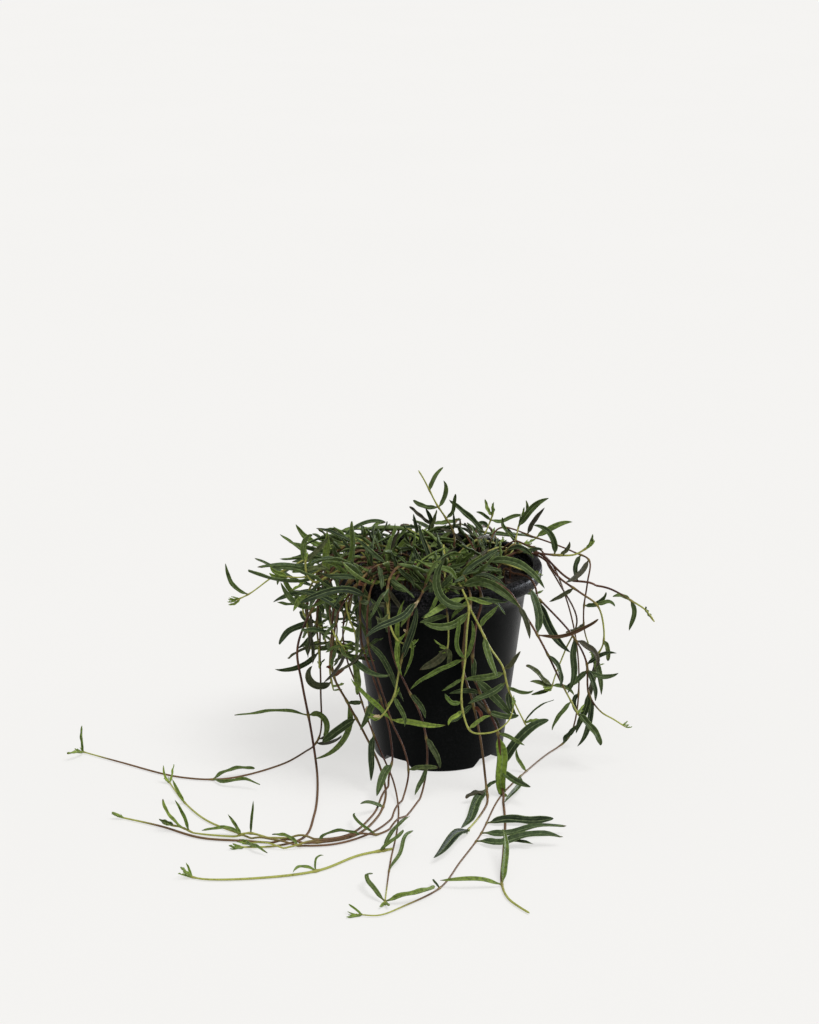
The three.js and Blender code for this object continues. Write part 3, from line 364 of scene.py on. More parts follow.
        "leaves": [[3.4, 180, 40, 27, -200, 0, 5], [1.1, -170, 55, 19, -40]],
    },
    {
        "name": "vine_left_hang_c", "tone": "mid",
        "way": [
            [-48, -48, 126], [-56, -50, 117], [-54, -54, 104], [-51, -55, 98], [-50, -56, 83],
        ],
        "leaves": [
            [1.1, -135, -75, 26, -60], [3, 180, 15, 13, 10], [3, 180, -40, 28, 150, 0, 3.6],
            [4, -90, -80, 27], [2, -20, -45, 23, 40],
        ],
    },
    {
        "name": "vine_top_sprig", "tone": "mid", "bare_below": 200,
        "way": [
            [10, 17, 133], [9, 22, 139], [3, 24, 149], [-1, 24, 155], [-6, 24, 165], [-10, 24, 173],
            [-13, 24, 178],
        ],
        "leaves": [
            [3, 180, 15, 17, -50], [2.9, 0, 80, 19, -80], [4.1, 0, 60, 18, 50], [1.7, 0, 70, 18, -55],
        ],
    },
    {
        "name": "vine_top_right_sprig", "tone": "mid", "bare_below": 200,
        "way": [
            [48, 14, 130], [49, 20, 137], [50, 22, 142], [53, 22, 149],
        ],
        "leaves": [[1.8, 0, 45, 28, 50], [2.6, 0, 75, 15, -80], [0.6, -180, 60, 18, -60]],
    },
    {
        "name": "vine_top_back_sprig", "tone": "dark", "bare_below": 200,
        "way": [
            [25, 24, 129], [30, 30, 136], [33, 32, 143], [35, 32, 149],
        ],
        "leaves": [
            [2.3, 180, 65, 12, -20], [2.1, 180, 30, 11, 30], [2, 0, 10, 20, -30], [0.8, 180, 45, 32],
        ],
    },
    {
        "name": "vine_right_low", "tone": "mid", "bare_below": 200,
        "way": [
            [65, 12, 124], [77, 10, 107], [88, 8, 84], [81, 8, 64], [75, 6, 48], [72, 4, 38],
        ],
        "leaves": [
            [5, -180, 40, 22, 10], [4.9, -170, 15, 15, 10], [5, 180, -25, 15, -40], [4.9, 0, -25, 17, 80],
        ],
    },
]

# Stems placed by rule: low ones that arch over the soil, and ones that fall round the pot, each with
# its azimuth in degrees and the height at which it ends.
CROWN_STEMS = 10
CROWN_AZIMUTH_STEP = 137.5
FALLS = [
    (60, 84), (78, 58), (95, 44), (112, 66), (128, 48), (145, 70), (158, 54),
    (171, 76), (184, 86), (197, 74), (211, 88), (226, 78), (243, 92),
]


def seeded(seed):
    """Draws from 0 up to 1 that come out alike on every run."""
    state = seed

    def draw():
        nonlocal state
        state = (state * 1664525 + 1013904223) % 4294967296
        return state / 4294967296

    return draw


def between(draw, low, high):
    return low + (high - low) * draw()


def mix(a, b, share):
    return a + (b - a) * share


def clamp(value, low=0.0, high=1.0):
    return min(high, max(low, value))


def smooth(low, high, value):
    share = clamp((value - low) / (high - low))
    return share * share * (3 - 2 * share)


def plus(a, b, share=1.0):
    return (a[0] + b[0] * share, a[1] + b[1] * share, a[2] + b[2] * share)


def minus(a, b):
    return (a[0] - b[0], a[1] - b[1], a[2] - b[2])


def times(a, size):
    return (a[0] * size, a[1] * size, a[2] * size)


def toward(a, b, share):
    return (a[0] + (b[0] - a[0]) * share, a[1] + (b[1] - a[1]) * share, a[2] + (b[2] - a[2]) * share)


def dot(a, b):
    return a[0] * b[0] + a[1] * b[1] + a[2] * b[2]


def cross(a, b):
    return (a[1] * b[2] - a[2] * b[1], a[2] * b[0] - a[0] * b[2], a[0] * b[1] - a[1] * b[0])


def size_of(a):
    return math.sqrt(a[0] * a[0] + a[1] * a[1] + a[2] * a[2])


def unit(a):
    return times(a, 1 / (size_of(a) or 1))


def distance(a, b):
    return size_of(minus(a, b))


def polar(radius, azimuth, z):
    return (radius * math.cos(azimuth * DEGREE), radius * math.sin(azimuth * DEGREE), z)


def outward(point):
    flat = (point[0], point[1], 0.0)
    return (0.0, -1.0, 0.0) if dot(flat, flat) < 1 else unit(flat)


def pot_radius(z):
    return RIM_RADIUS if z > SHOULDER else mix(BASE_RADIUS, SHOULDER_RADIUS, z / SHOULDER)


# Points already taken, by cell, so that what grows later can keep clear of them.
CELL = STEM_GAP
BESIDE = [(a, b, c) for a in (-1, 0, 1) for b in (-1, 0, 1) for c in (-1, 0, 1)]
cells = {}


def cell_of(point):
    return (math.floor(point[0] / CELL), math.floor(point[1] / CELL), math.floor(point[2] / CELL))


def take(point, vine):
    cells.setdefault(cell_of(point), []).append((point, vine))


def nearby(point):
    i, j, k = cell_of(point)
    found = []
    for a, b, c in BESIDE:
        found += cells.get((i + a, j + b, k + c), ())
    return found


# Spots on the soil in a sunflower spiral; each stem takes the free one nearest to its way.
free_spots = [
    polar(ROOT_REACH * math.sqrt((n + 0.5) / ROOT_SPOTS), n * CROWN_AZIMUTH_STEP, SOIL_TOP)
    for n in range(ROOT_SPOTS)
]


def take_spot(wish):
    best = 0
    for n, spot in enumerate(free_spots):
        if distance(spot, wish) < distance(free_spots[best], wish):
            best = n
    return free_spots.pop(best)


def even_steps(points, step):
    """The same polyline in equal steps of about the given length."""
    reach = [0.0]
    for n in range(1, len(points)):
        reach.append(reach[-1] + distance(points[n], points[n - 1]))
    total = reach[-1]
    count = max(2, math.floor(total / step + 0.5))
    even = []
    n = 1
    for m in range(count + 1):
        goal = (total * m) / count
        while n < len(points) - 1 and reach[n] < goal:
            n += 1
        share = (goal - reach[n - 1]) / (reach[n] - reach[n - 1])
        even.append(toward(points[n - 1], points[n], min(1, share)))
    return even


CURVE_PARTS = 12


def curve_point(points, t):
    """A point of the centripetal Catmull-Rom curve through the points, at a share t of its spans."""
    last = len(points) - 1
    place = last * t
    whole = math.floor(place)
    part = place - whole
    if part == 0 and whole == last:
        whole = last - 1
        part = 1
    second, third = points[whole], points[whole + 1]
    first = points[whole - 1] if whole > 0 else plus(minus(points[0], points[1]), points[0])
    if whole + 2 <= last:
        fourth = points[whole + 2]
    else:
        fourth = plus(minus(points[last], points[last - 1]), points[last])
    gaps = []
    for a, b in ((first, second), (second, third), (third, fourth)):
        away = minus(a, b)
        gaps.append(dot(away, away) ** 0.25)
    before, gap, after = gaps
    gap = 1.0 if gap < 1e-4 else gap
    before = gap if before < 1e-4 else before
    after = gap if after < 1e-4 else after
    result = []
    for x0, x1, x2, x3 in zip(first, second, third, fourth):
        start = ((x1 - x0) / before - (x2 - x0) / (before + gap) + (x2 - x1) / gap) * gap
        end = ((x2 - x1) / gap - (x3 - x1) / (gap + after) + (x3 - x2) / after) * gap
        square = -3 * x1 + 3 * x2 - 2 * start - end
        cube = 2 * x1 - 2 * x2 + start + end
        result.append(x1 + start * part + square * (part * part) + cube * (part * part * part))
    return tuple(result)


def smooth_from_second(points):
    """A smooth line through the points, from the second point to the last."""
    parts = (len(points) - 1) * CURVE_PARTS
    return [curve_point(points, m / parts) for m in range(CURVE_PARTS, parts + 1)]


LIP_RADIUS = 60.5
LIP_HEIGHT = 118.5
LIP_CLEAR = 9
STEM_CLEAR = 1.8
LEAN_OUT = 0.35
LEAN_UP = 0.45
PUSH_SHARE = 0.45
OWN_PUSH = 0.5
BESIDE_PUSH = 0.25
EASE = 0.25
STILL = 1e-8


def push_away(point, vine):
    """How far a stem's point must move to leave the pot, the soil and the stems laid before it."""
    push = (0.0, 0.0, 0.0)
    out = outward(point)
    for other, owner in nearby(point):
        if owner == vine:
            continue
        away = minus(point, other)
        gap = size_of(away)
        if gap >= STEM_GAP:
            continue
        away = times(away, 1 / max(gap, 1e-6))
        away = plus(plus(away, out, LEAN_OUT), UP, LEAN_UP)
        push = plus(push, away, (STEM_GAP - gap) * PUSH_SHARE)
    radius = math.hypot(point[0], point[1])
    lip_across = radius - LIP_RADIUS
    lip_up = point[2] - LIP_HEIGHT
    lip_distance = math.hypot(lip_across, lip_up)
    if lip_distance < LIP_CLEAR:
        push = plus(push, out, ((LIP_CLEAR - lip_distance) * lip_across) / lip_distance)
        push = plus(push, UP, ((LIP_CLEAR - lip_distance) * lip_up) / lip_distance)
    elif point[2] < SHOULDER:
        short = pot_radius(max(0, point[2])) + STEM_CLEAR - radius
        if short > 0:
            push = plus(push, out, short)
    elif radius < LIP_RADIUS - LIP_CLEAR:
        push = plus(push, UP, max(0, SOIL_TOP + SOIL_LUMP + STEM_CLEAR - point[2]))
    return push


def settle(line, vine, fixed):
    """Bends a line clear of what stands in its way. Its first points stay where they are."""
    last = len(line) - 1
    for _ in range(SETTLE_PASSES):
        push = [(0.0, 0.0, 0.0) if n < fixed else push_away(point, vine) for n, point in enumerate(line)]
        for n in range(fixed, last + 1):
            move = times(push[n], OWN_PUSH)
            move = plus(plus(move, push[n - 1], BESIDE_PUSH), push[min(n + 1, last)], BESIDE_PUSH)
            line[n] = plus(line[n], move)
            if dot(move, move) > STILL and n < last:
                line[n] = toward(line[n], toward(line[n - 1], line[n + 1], 0.5), EASE)
            line[n] = (line[n][0], line[n][1], max(line[n][2], STEM_REST))


def index_of_place(line, way, place):
    """Index along a stem's line of a place given by its way points, short of the line's pointed end."""
    n = min(len(way) - 1, math.floor(place))
    goal = toward(way[n], way[min(len(way) - 1, n + 1)], place - n)
    away = [distance(point, goal) for point in line]
    return min(away.index(min(away)), len(line) - 2)


SHAFT_BELOW = 12
SPOT_SHARE = 0.74
RIM_PASS_RADIUS = 48
RIM_PASS_FROM = 52
RIM_PASS_HEIGHT = 129
RIM_PASS_RISE = 5


def way_points(route):
    return [(float(x), float(y), max(float(z), STEM_REST)) for x, y, z in route["way"]]


def rooted_stem(route, vine, draw):
    way = way_points(route)
    spot = take_spot((way[0][0] * SPOT_SHARE, way[0][1] * SPOT_SHARE, SOIL_TOP))
    lifted = plus(spot, UP, SHAFT)
    guide = [plus(lifted, UP, -SHAFT_BELOW), lifted]
    if math.hypot(way[0][0], way[0][1]) > RIM_PASS_FROM:
        height = max(RIM_PASS_HEIGHT, way[0][2]) + between(draw, 0, RIM_PASS_RISE)
        out = times(outward(way[0]), RIM_PASS_RADIUS)
        guide.append((out[0], out[1], height))
    shaft_start = plus(spot, UP, -ROOT_DEPTH)
    shaft = [toward(shaft_start, lifted, share) for share in (0, 1 / 3, 2 / 3)]
    line = shaft + even_steps(smooth_from_second(guide + way), STEM_STEP)
    settle(line, vine, len(shaft) + 1)
    return {"line": line, "way": way, "route": route}


def branch_stem(parent, branch, vine):
    start = parent["line"][index_of_place(parent["line"], parent["way"], branch["from"])]
    way = way_points(branch)
    before = minus(times(start, 2), way[0])
    line = even_steps(smooth_from_second([before, start] + way), STEM_STEP)
    settle(line, vine, 1)
    return {"line": line, "way": [start] + way, "route": branch}


CROWN_STRAY = 12
CROWN_BEND = 35
CROWN_PEAK = (124, 137)
CROWN_START_DROP = 6
CROWN_END_DROP = 8
CROWN_REACHES = ((14, 26), (34, 42), (56, 68))


def crown_route(n, draw):
    """A low stem that arches from the middle towards the rim."""
    azimuth = n * CROWN_AZIMUTH_STEP + between(draw, -CROWN_STRAY, CROWN_STRAY)
    bend = between(draw, -CROWN_BEND, CROWN_BEND)
    peak = between(draw, *CROWN_PEAK)
    start, middle, end = CROWN_REACHES
    way = [
        polar(between(draw, *start), azimuth, peak - CROWN_START_DROP),
        polar(between(draw, *middle), azimuth + bend / 2, peak),
        polar(between(draw, *end), azimuth + bend, peak - between(draw, 0, CROWN_END_DROP)),
    ]
    return {"name": f"vine_crown_{n + 1}", "tone": "dark" if n % 3 else "mid", "way": way, "leaves": []}


FALL_SWAY = 16
FALL_REACH = (74, 84)
FALL_START_RADIUS = 66
FALL_START_HEIGHT = (127, 134)
FALL_TURN_HEIGHT = (104, 114)
FALL_MIDDLE_HEIGHT = 110
FALL_MIDDLE_STRAY = (-5, 6)
FALL_END_STRAY = (-10, 6)


def fall_route(n, draw):
    """A stem that goes over the rim at an azimuth and hangs beside the pot."""
    azimuth, end = FALLS[n]
    sway = between(draw, -FALL_SWAY, FALL_SWAY)
    reach = between(draw, *FALL_REACH)
    middle = mix(end, FALL_MIDDLE_HEIGHT, 0.45)
    way = [
        polar(FALL_START_RADIUS, azimuth, between(draw, *FALL_START_HEIGHT)),
        polar(reach, azimuth + sway * 0.3, between(draw, *FALL_TURN_HEIGHT)),
        polar(reach + between(draw, *FALL_MIDDLE_STRAY), azimuth + sway * 0.7, middle),
        polar(reach + between(draw, *FALL_END_STRAY), azimuth + sway, end),
    ]
    return {"name": f"vine_fall_{n + 1}", "tone": "dark" if n % 4 else "mid", "way": way, "leaves": []}


def direction(heading, rise):
    level = math.cos(rise * DEGREE)
    return (level * math.cos(heading * DEGREE), level * math.sin(heading * DEGREE), math.sin(rise * DEGREE))


def midrib(leaf, steps=LEAF_STEPS):
    """A leaf's midrib in equal steps from its base, and the sideways direction of its blade at each."""
    points = [leaf["base"]]
    sides = []
    for n in range(steps):
        share = (n + 0.5) / steps - 0.5
        along = direction(leaf["heading"] + leaf["turn"] * share, leaf["rise"] - leaf["curl"] * share)
        points.append(plus(points[n], along, leaf["length"] / steps))
        sides.append(unit(cross(along, leaf["face"])))
    sides.append(sides[-1])
    return points, sides


WIDTH_SHARE = 0.1
WIDTH_START = 1.5
THINNEST_LEAF = 2.4
BROADEST_LEAF = 6
FOOT_SHARE = 0.3
FOOT_RISE = 2.1
TIP_FALL = 1.9
THIN_BLADE = 0.9


def leaf_width(length):
    return clamp(length * WIDTH_SHARE + WIDTH_START, THINNEST_LEAF, BROADEST_LEAF)


def half_width(share, width):
    """Half the blade's width at a share of its length: a narrow foot, widest before the middle."""
    rising = min(1, FOOT_SHARE + FOOT_RISE * share)
    falling = min(1, TIP_FALL * (1 - share))
    return 0.5 * width * rising * falling


def samples_of(leaf):
    points, sides = midrib(leaf)
    samples = []
    for n in range(1, LEAF_STEPS + 1):
        samples.append(points[n])
        half = half_width(n / LEAF_STEPS, leaf["width"])
        if n < 2 or half < THIN_BLADE:
            continue
        samples.append(plus(points[n], sides[n], half))
        samples.append(plus(points[n], sides[n], -half))
    return samples


LEAF_WALL_CLEAR = 1.7
LEAF_SOIL_CLEAR = 3.2
RIM_TOP_CLEAR = 2.2
FOOT_FREE = 7
CROWN_TOP = 148
CROWN_SLOPE = 0.25
BARE_FRONT_TOP = 112
BARE_FRONT_BACK = -48
BARE_FRONT_LEFT = -32
BARE_FRONT_RIGHT = 50
BARE_RIM_LEFT = 40
BARE_RIM_BACK = 45


def inside_holder(point):
    if point[2] < LEAF_REST:
        return True
    if point[2] > POT_HEIGHT + RIM_TOP_CLEAR:
        return False
    radius = math.hypot(point[0], point[1])
    if radius > pot_radius(point[2]) + LEAF_WALL_CLEAR:
        return False
    return point[2] < SOIL_TOP + LEAF_SOIL_CLEAR or radius > LIP_RADIUS - LIP_CLEAR + 1


def above_crown(point):
    return point[2] > CROWN_TOP - CROWN_SLOPE * max(0, point[1])


def before_front(point):
    """Whether a point hangs before the front of the pot, which the photo shows bare."""
    low = point[2] < BARE_FRONT_TOP and point[1] < BARE_FRONT_BACK
    return low and BARE_FRONT_LEFT < point[0] < BARE_FRONT_RIGHT


def over_bare_rim(point):
    """Whether a point is over the right of the rim, where the photo shows the soil and the rim itself."""
    return point[0] > BARE_RIM_LEFT and point[1] < BARE_RIM_BACK and point[2] > BARE_FRONT_TOP


def is_kept_bare(point):
    return above_crown(point) or before_front(point) or over_bare_rim(point)


def leaf_is_clear(leaf, samples, vine, gap_wanted):
    for sample in samples:
        if inside_holder(sample):
            return False
        if leaf.get("low") and is_kept_bare(sample):
            return False
        near_base = distance(sample, leaf["base"]) < FOOT_FREE
        for other, owner in nearby(sample):
            gap = distance(sample, other)
            if owner != vine:
                if gap < gap_wanted:
                    return False
            elif gap < OWN_GAP and not near_base and distance(other, leaf["base"]) > FOOT_FREE:
                return False
    return True


FACE_UP = 0.8
FACE_OUT = 0.55
FACE_STRAY = (0.6, 0.6, 0.3)


def face_of(base, draw):
    """Which way a leaf's upper side looks: up and away from the pot, more or less."""
    face = plus(times(UP, FACE_UP), outward(base), FACE_OUT)
    return unit([item + between(draw, -stray, stray) for item, stray in zip(face, FACE_STRAY)])


def grow_leaf(vine, stem, index, wishes, gap_wanted=LEAF_GAP):
    """Grows the first of a few wished leaves that is clear of everything."""
    for wish in wishes:
        leaf = {"base": stem["line"][index], "width": leaf_width(wish["length"]), **wish}
        samples = samples_of(leaf)
        if not leaf_is_clear(leaf, samples, vine["index"], gap_wanted):
            continue
        for sample in samples:
            take(sample, vine["index"])
        vine["leaves"].append({**leaf, "stem": stem, "at": index})
        return True
    return False


GIVEN_STRAY = 3
GIVEN_FULL_TRIES = 8
GIVEN_SHRINK = 0.8


def wishes_near(base, heading, rise, stray_step, draw, **shape):
    """One leaf wished a few times, each time straying a little more from its angles."""
    wishes = []
    for n in range(LEAF_TRIES):
        stray = n * stray_step
        wishes.append({
            "heading": heading + between(draw, -stray, stray),
            "rise": rise + between(draw, -stray, stray),
            "face": face_of(base, draw),
            **shape,
        })
    return wishes


def grow_given_leaf(vine, stem, given, draw):
    defaults = [0, 0, leaf_width(given[3])]
    place, heading, rise, length, curl, turn, width = given + defaults[len(given) - 4:]
    index = index_of_place(stem["line"], stem["way"], place)
    wishes = wishes_near(
        stem["line"][index], heading, rise, GIVEN_STRAY, draw,
        length=min(length, LEAF_LONGEST), curl=curl, turn=turn, width=width, given=(place, heading),
    )
    for wish in wishes[GIVEN_FULL_TRIES:]:
        wish["length"] *= GIVEN_SHRINK
    grow_leaf(vine, stem, index, wishes)


CROWN_WEIGHT = 0.5
FALL_WEIGHT = 0.4
LIGHTEST = 0.3
SPIN_STRAY = 12
SPIN_STRAY_MORE = 5
OPENING = (35, 105)
LEAN_AWAY = 0.1
RULE_CURL = (-75, 95)
RULE_TURN = 60
SMALLEST_LEAF = 10
UPRIGHT = 0.05


def rule_wish(line, index, spin, size, draw, n):
    """A leaf by rule: it leaves the stem at an angle, spun round it, and leans with its own weight."""
    tangent = unit(minus(line[min(len(line) - 1, index + 1)], line[index - 1]))
    across = cross(tangent, UP)
    across = unit((1.0, 0.0, 0.0) if dot(across, across) < UPRIGHT else across)
    over = cross(across, tangent)
    stray = SPIN_STRAY + SPIN_STRAY_MORE * n
    angle = (spin + between(draw, -stray, stray)) * DEGREE
    opened = between(draw, *OPENING) * DEGREE
    way = times(tangent, math.cos(opened))
    way = plus(way, across, math.sin(opened) * math.cos(angle))
    way = plus(way, over, math.sin(opened) * math.sin(angle))
    weight = CROWN_WEIGHT if line[index][2] > POT_HEIGHT - 8 else FALL_WEIGHT
    way = plus(plus(way, outward(line[index]), LEAN_AWAY), UP, between(draw, -weight, LIGHTEST))
    way = unit(way)
    shrink = 1 if n < 6 else 0.8 if n < 10 else 0.62
    return {
        "heading": math.atan2(way[1], way[0]) / DEGREE,
        "rise": math.asin(way[2]) / DEGREE,
        "length": max(SMALLEST_LEAF, between(draw, RULE_SHORTEST, RULE_LONGEST) * size * shrink),
        "curl": between(draw, *RULE_CURL),
        "turn": between(draw, -RULE_TURN, RULE_TURN),
        "face": face_of(line[index], draw),
        "low": True,
    }


def grow_pair(vine, stem, index, spin, size, draw, gap_wanted=LEAF_GAP):
    for half in (0, 180):
        wishes = [rule_wish(stem["line"], index, spin + half, size, draw, n) for n in range(LEAF_TRIES)]
        grow_leaf(vine, stem, index, wishes, gap_wanted)


FLOOR_BARE = 12
FIRST_LEAF = (16, 26)
SPACING_STRAY = (0.75, 1.2)
GIVEN_CLEAR = 10
YOUNG_REACH = 70
YOUNG_SIZE = 0.5
TIP_SIZE = 0.45
PAIR_TURN = 90


def given_places(stem):
    return [index_of_place(stem["line"], stem["way"], leaf[0]) for leaf in stem["route"]["leaves"]]


def grow_rule_leaves(vine, stem, draw):
    given = given_places(stem)
    bare_below = stem["route"].get("bare_below", FLOOR_BARE)
    tip = len(stem["line"]) - 2
    spin = between(draw, 0, 180)
    index = math.floor(between(draw, *FIRST_LEAF) / STEM_STEP + 0.5) + 3
    while index <= tip:
        free = all(abs(other - index) * STEM_STEP > GIVEN_CLEAR for other in given)
        size = min(1, YOUNG_SIZE + ((tip - index) * STEM_STEP) / YOUNG_REACH)
        if free and stem["line"][index][2] > bare_below:
            grow_pair(vine, stem, index, spin, size, draw)
        spin += PAIR_TURN
        index += math.floor((NODE_SPACING * between(draw, *SPACING_STRAY)) / STEM_STEP + 0.5)
    if stem["line"][tip][2] > bare_below:
        grow_pair(vine, stem, tip, spin, TIP_SIZE, draw)


def grow_plant():
    """Grows every vine as the part does: first all stems, then the leaves seen in place, then the rest."""
    draw = seeded(PLANT_SEED)
    routes = list(ROUTES)
    routes += [fall_route(n, draw) for n in range(len(FALLS))]
    routes += [crown_route(n, draw) for n in range(CROWN_STEMS)]
    vines = []
    for index, route in enumerate(routes):
        stems = [rooted_stem(route, index, draw)]
        for point in stems[0]["line"]:
            take(point, index)
        if "branch" in route:
            stems.append(branch_stem(stems[0], route["branch"], index))
            for point in stems[1]["line"]:
                take(point, index)
        vines.append({
            "index": index, "name": route["name"], "tone": route["tone"], "stems": stems, "leaves": [],
        })
    for vine in vines:
        for stem in vine["stems"]:
            for leaf in stem["route"]["leaves"]:
                grow_given_leaf(vine, stem, leaf, draw)
    for vine in vines:
        for stem in vine["stems"]:
            grow_rule_leaves(vine, stem, draw)
    return vines


# More leaves that the photo shows, too small or too close for the part's own rule: [step along the
# stem, heading, rise, length, curl, youth, width, dryness, turn].
SEEN_LEAVES = {
    "vine_fall_7": [
        [17, 0, 20, 34, 80, 0, 4.4], [16, 0, 25, 32, -90, 0.1, 2.6], [18, -175, -20, 33, -20, 0],
    ],
    "vine_left_hang_a": [
        [22, 180, 88, 29, -20, 0.6], [15, -155, -65, 17, 10, 0.2, 3.8], [33, -170, -30, 29, 60, 0, 5],
        [37, -170, 55, 26, -100, 0, 4.6],
    ],
    "vine_left_hang_b": [[28, -170, 55, 19, -40, 0.1, 3.6]],
    "vine_left_hang_c": [[26, -135, -75, 26, -60, 0.1, 4.2], [30, -20, -45, 23, 40, 0.3, 4]],
    "vine_fall_11": [
        [23, 20, 70, 37, -30, 0.45, 4.8], [7, -5, -15, 25, 0, 0.1, 4.8], [22, 0, -5, 20, -30, 0.1, 3.2],
    ],
    "vine_crown_7": [
        [19, -170, -35, 31, 0, 0.9, 3.8], [7, 10, 35, 18, 0, 0.3, 4], [12, 180, 80, 14, -10, 0, 3],
        [4, 5, 15, 29, -30, 1, 3], [4, 165, 55, 23, 30, 1, 3], [18, 0, -10, 14, 30, 0, 3.6],
    ],
    "vine_fall_4": [[8, -135, -55, 19, -10, 0.6, 6]],
    "vine_crown_8": [[9, -165, -20, 25, 30, 0.7, 3.4]],
    "vine_left_up": [[12, -10, -10, 26, 0, 0.25, 4.6], [21, -20, -60, 15, 0, 0.05, 4.8]],
    "vine_crown_10": [[7, -170, -20, 17, 10, 0.3]],
    "vine_left_fall": [[10, -115, -70, 15, -10, 0.3, 4.2], [25, 180, 40, 28, -70, 0.15, 3.6]],
    "vine_fall_10": [[31, 180, -20, 12, -20, 0, 2.4]],
    "vine_bundle_a": [
        [46, -175, -35, 26, 0, 0.1, 5.6], [47, 175, -35, 25, -30, 0.1, 4.4],
        [35, 180, 35, 6, 110, 0, 3, 0.5], [36, 0, 40, 9, 0, 0, 3, 0.6],
        [97, -55, 6, 36, 30, 0.4, 2.6], [108, -45, 6, 24, 40, 0.4, 2.4, 0, 60],
        [136, 180, 30, 8, -20, 0.9, 1.6], [71, -140, 10, 21, 50, 0.2, 3],
    ],
    "vine_bundle_b": [
        [42, 180, -5, 9, 0, 0, 2.8], [45, -70, 65, 7, 10, 0, 2.2, 1], [55, -35, -45, 34, -80, 0.1, 4.6],
    ],
    "vine_bundle_b_branch": [[42, 150, 30, 9, 10, 1, 1.6], [42, -170, 20, 10, 10, 1, 1.8]],
    "vine_bundle_c": [
        [41, -30, 65, 17, -20, 1, 2], [57, -120, -50, 28, 60, 0.1, 4], [96, 165, 10, 18, 70, 0.5, 2.2, 0, 20],
        [109, 180, 6, 24, 50, 0.5, 2.4, 0, 20],
    ],
    "vine_right_runner": [[153, 170, 15, 9, 0, 0.9, 1.6]],
    "vine_bundle_e": [
        [18, -60, -85, 27, -10, 0.1, 6], [18, -140, 45, 7, 50, 0, 3, 0.4], [8, 0, -5, 18, -30, 0.1, 3.8],
    ],
    "vine_fall_13": [[19, -15, -35, 17, -30, 0.15]],
    "vine_fall_5": [[7, -165, -45, 20, -70, 0.2, 2.8]],
    "vine_fall_9": [[25, -175, 10, 20, -130, 0]],
    "vine_fall_8": [[22, 0, 0, 13, 0, 0.7]],
    "vine_bundle_d": [
        [18, -150, -80, 22, 10, 0.1, 4.4], [20, -170, -10, 14, 110, 0.1, 4],
        [82, 120, 6, 31, 60, 0.4, 2.4, 0, -90],
    ],
    "vine_cut_front": [
        [20, 180, -70, 13, 20, 0.35, 2.4], [25, -150, -80, 30, 80, 0.85, 2.4],
        [25, 180, -80, 30, -50, 0.6, 1.8], [21, -30, 60, 11, 10, 0, 2.8, 1],
        [21, -70, 40, 5, -20, 0, 3, 0.6], [25, -125, 40, 4, 20, 0, 1.8, 0.9],
        [44, -145, 15, 6, 10, 0, 2.2, 0.9], [33, -35, 85, 46, 40, 0.75, 3],
    ],
    "vine_fall_1": [[20, -30, -12, 28, 0, 0.15, 3.6], [9, 0, 10, 12, 200, 0], [9, -30, -70, 18, -20, 0.3]],
    "vine_right_arch_c": [
        [13, -15, -60, 17, 20, 0.05, 4.6], [18, 0, 85, 21, 30, 0], [5, 25, 40, 14, 0, 0.2],
    ],
    "vine_red_right": [[11, 0, 5, 15, 20, 0], [4, -10, -45, 17, 20, 0.1, 3.2]],
    "vine_top_right_sprig": [[7, -5, -25, 18, 40, 0, 3.2]],
    "vine_middle_fall": [[14, -165, -50, 12, -40, 0.3, 2.2]],
    "vine_crown_1": [[8, 180, 65, 17, 0, 0, 1.6, 0.35]],
    "vine_crown_4": [[7, -20, -40, 18, -10, 0.25, 5.6], [9, 0, -5, 16, 30, 0.4]],
    "vine_crown_6": [[11, -40, -12, 48, 80, 0.1, 5.2]],
    "vine_thin_right": [[7, -50, 4, 28, 80, 0.1, 4]],
    "vine_yellow_front": [[32, -20, -12, 42, 80, 0.15, 5.2], [53, -170, -35, 15, -10, 0.3, 2.2]],
    "vine_yellow_front_branch": [
        [17, -175, -10, 25, 10, 0.2, 4], [19, 175, -35, 27, -10, 0.05, 5], [21, 180, -88, 17, 70, 0.05, 4.8],
    ],
    "vine_right_front_fall": [[17, -75, 60, 6, 0, 0, 2.4, 0.9], [38, -50, -70, 14, 210, 0, 2.6, 0.5]],
    "vine_strap_fall": [
        [6, -10, -20, 30, 60, 0.5, 3.4], [32, -5, -45, 33, 10, 0.05, 6], [31, 0, -80, 21, -30, 0.05, 4.4],
        [81, -35, 8, 22, 50, 0.05, 2.6, 0, 90],
    ],
    "vine_fall_3": [
        [10, -45, -65, 28, 60, 0.45, 3.2], [10, 180, 40, 20, 0, 0, 2.8], [9, 180, 75, 15, 10, 0, 3.6],
        [11, 0, 10, 19, -10, 0.3], [8, 0, 80, 16, 0, 0.3],
    ],
    "vine_top_back_sprig": [[11, -110, -75, 21, 0, 0.3]],
    "vine_top_sprig": [[11, 0, 85, 12, 0, 0, 1.8]],
}

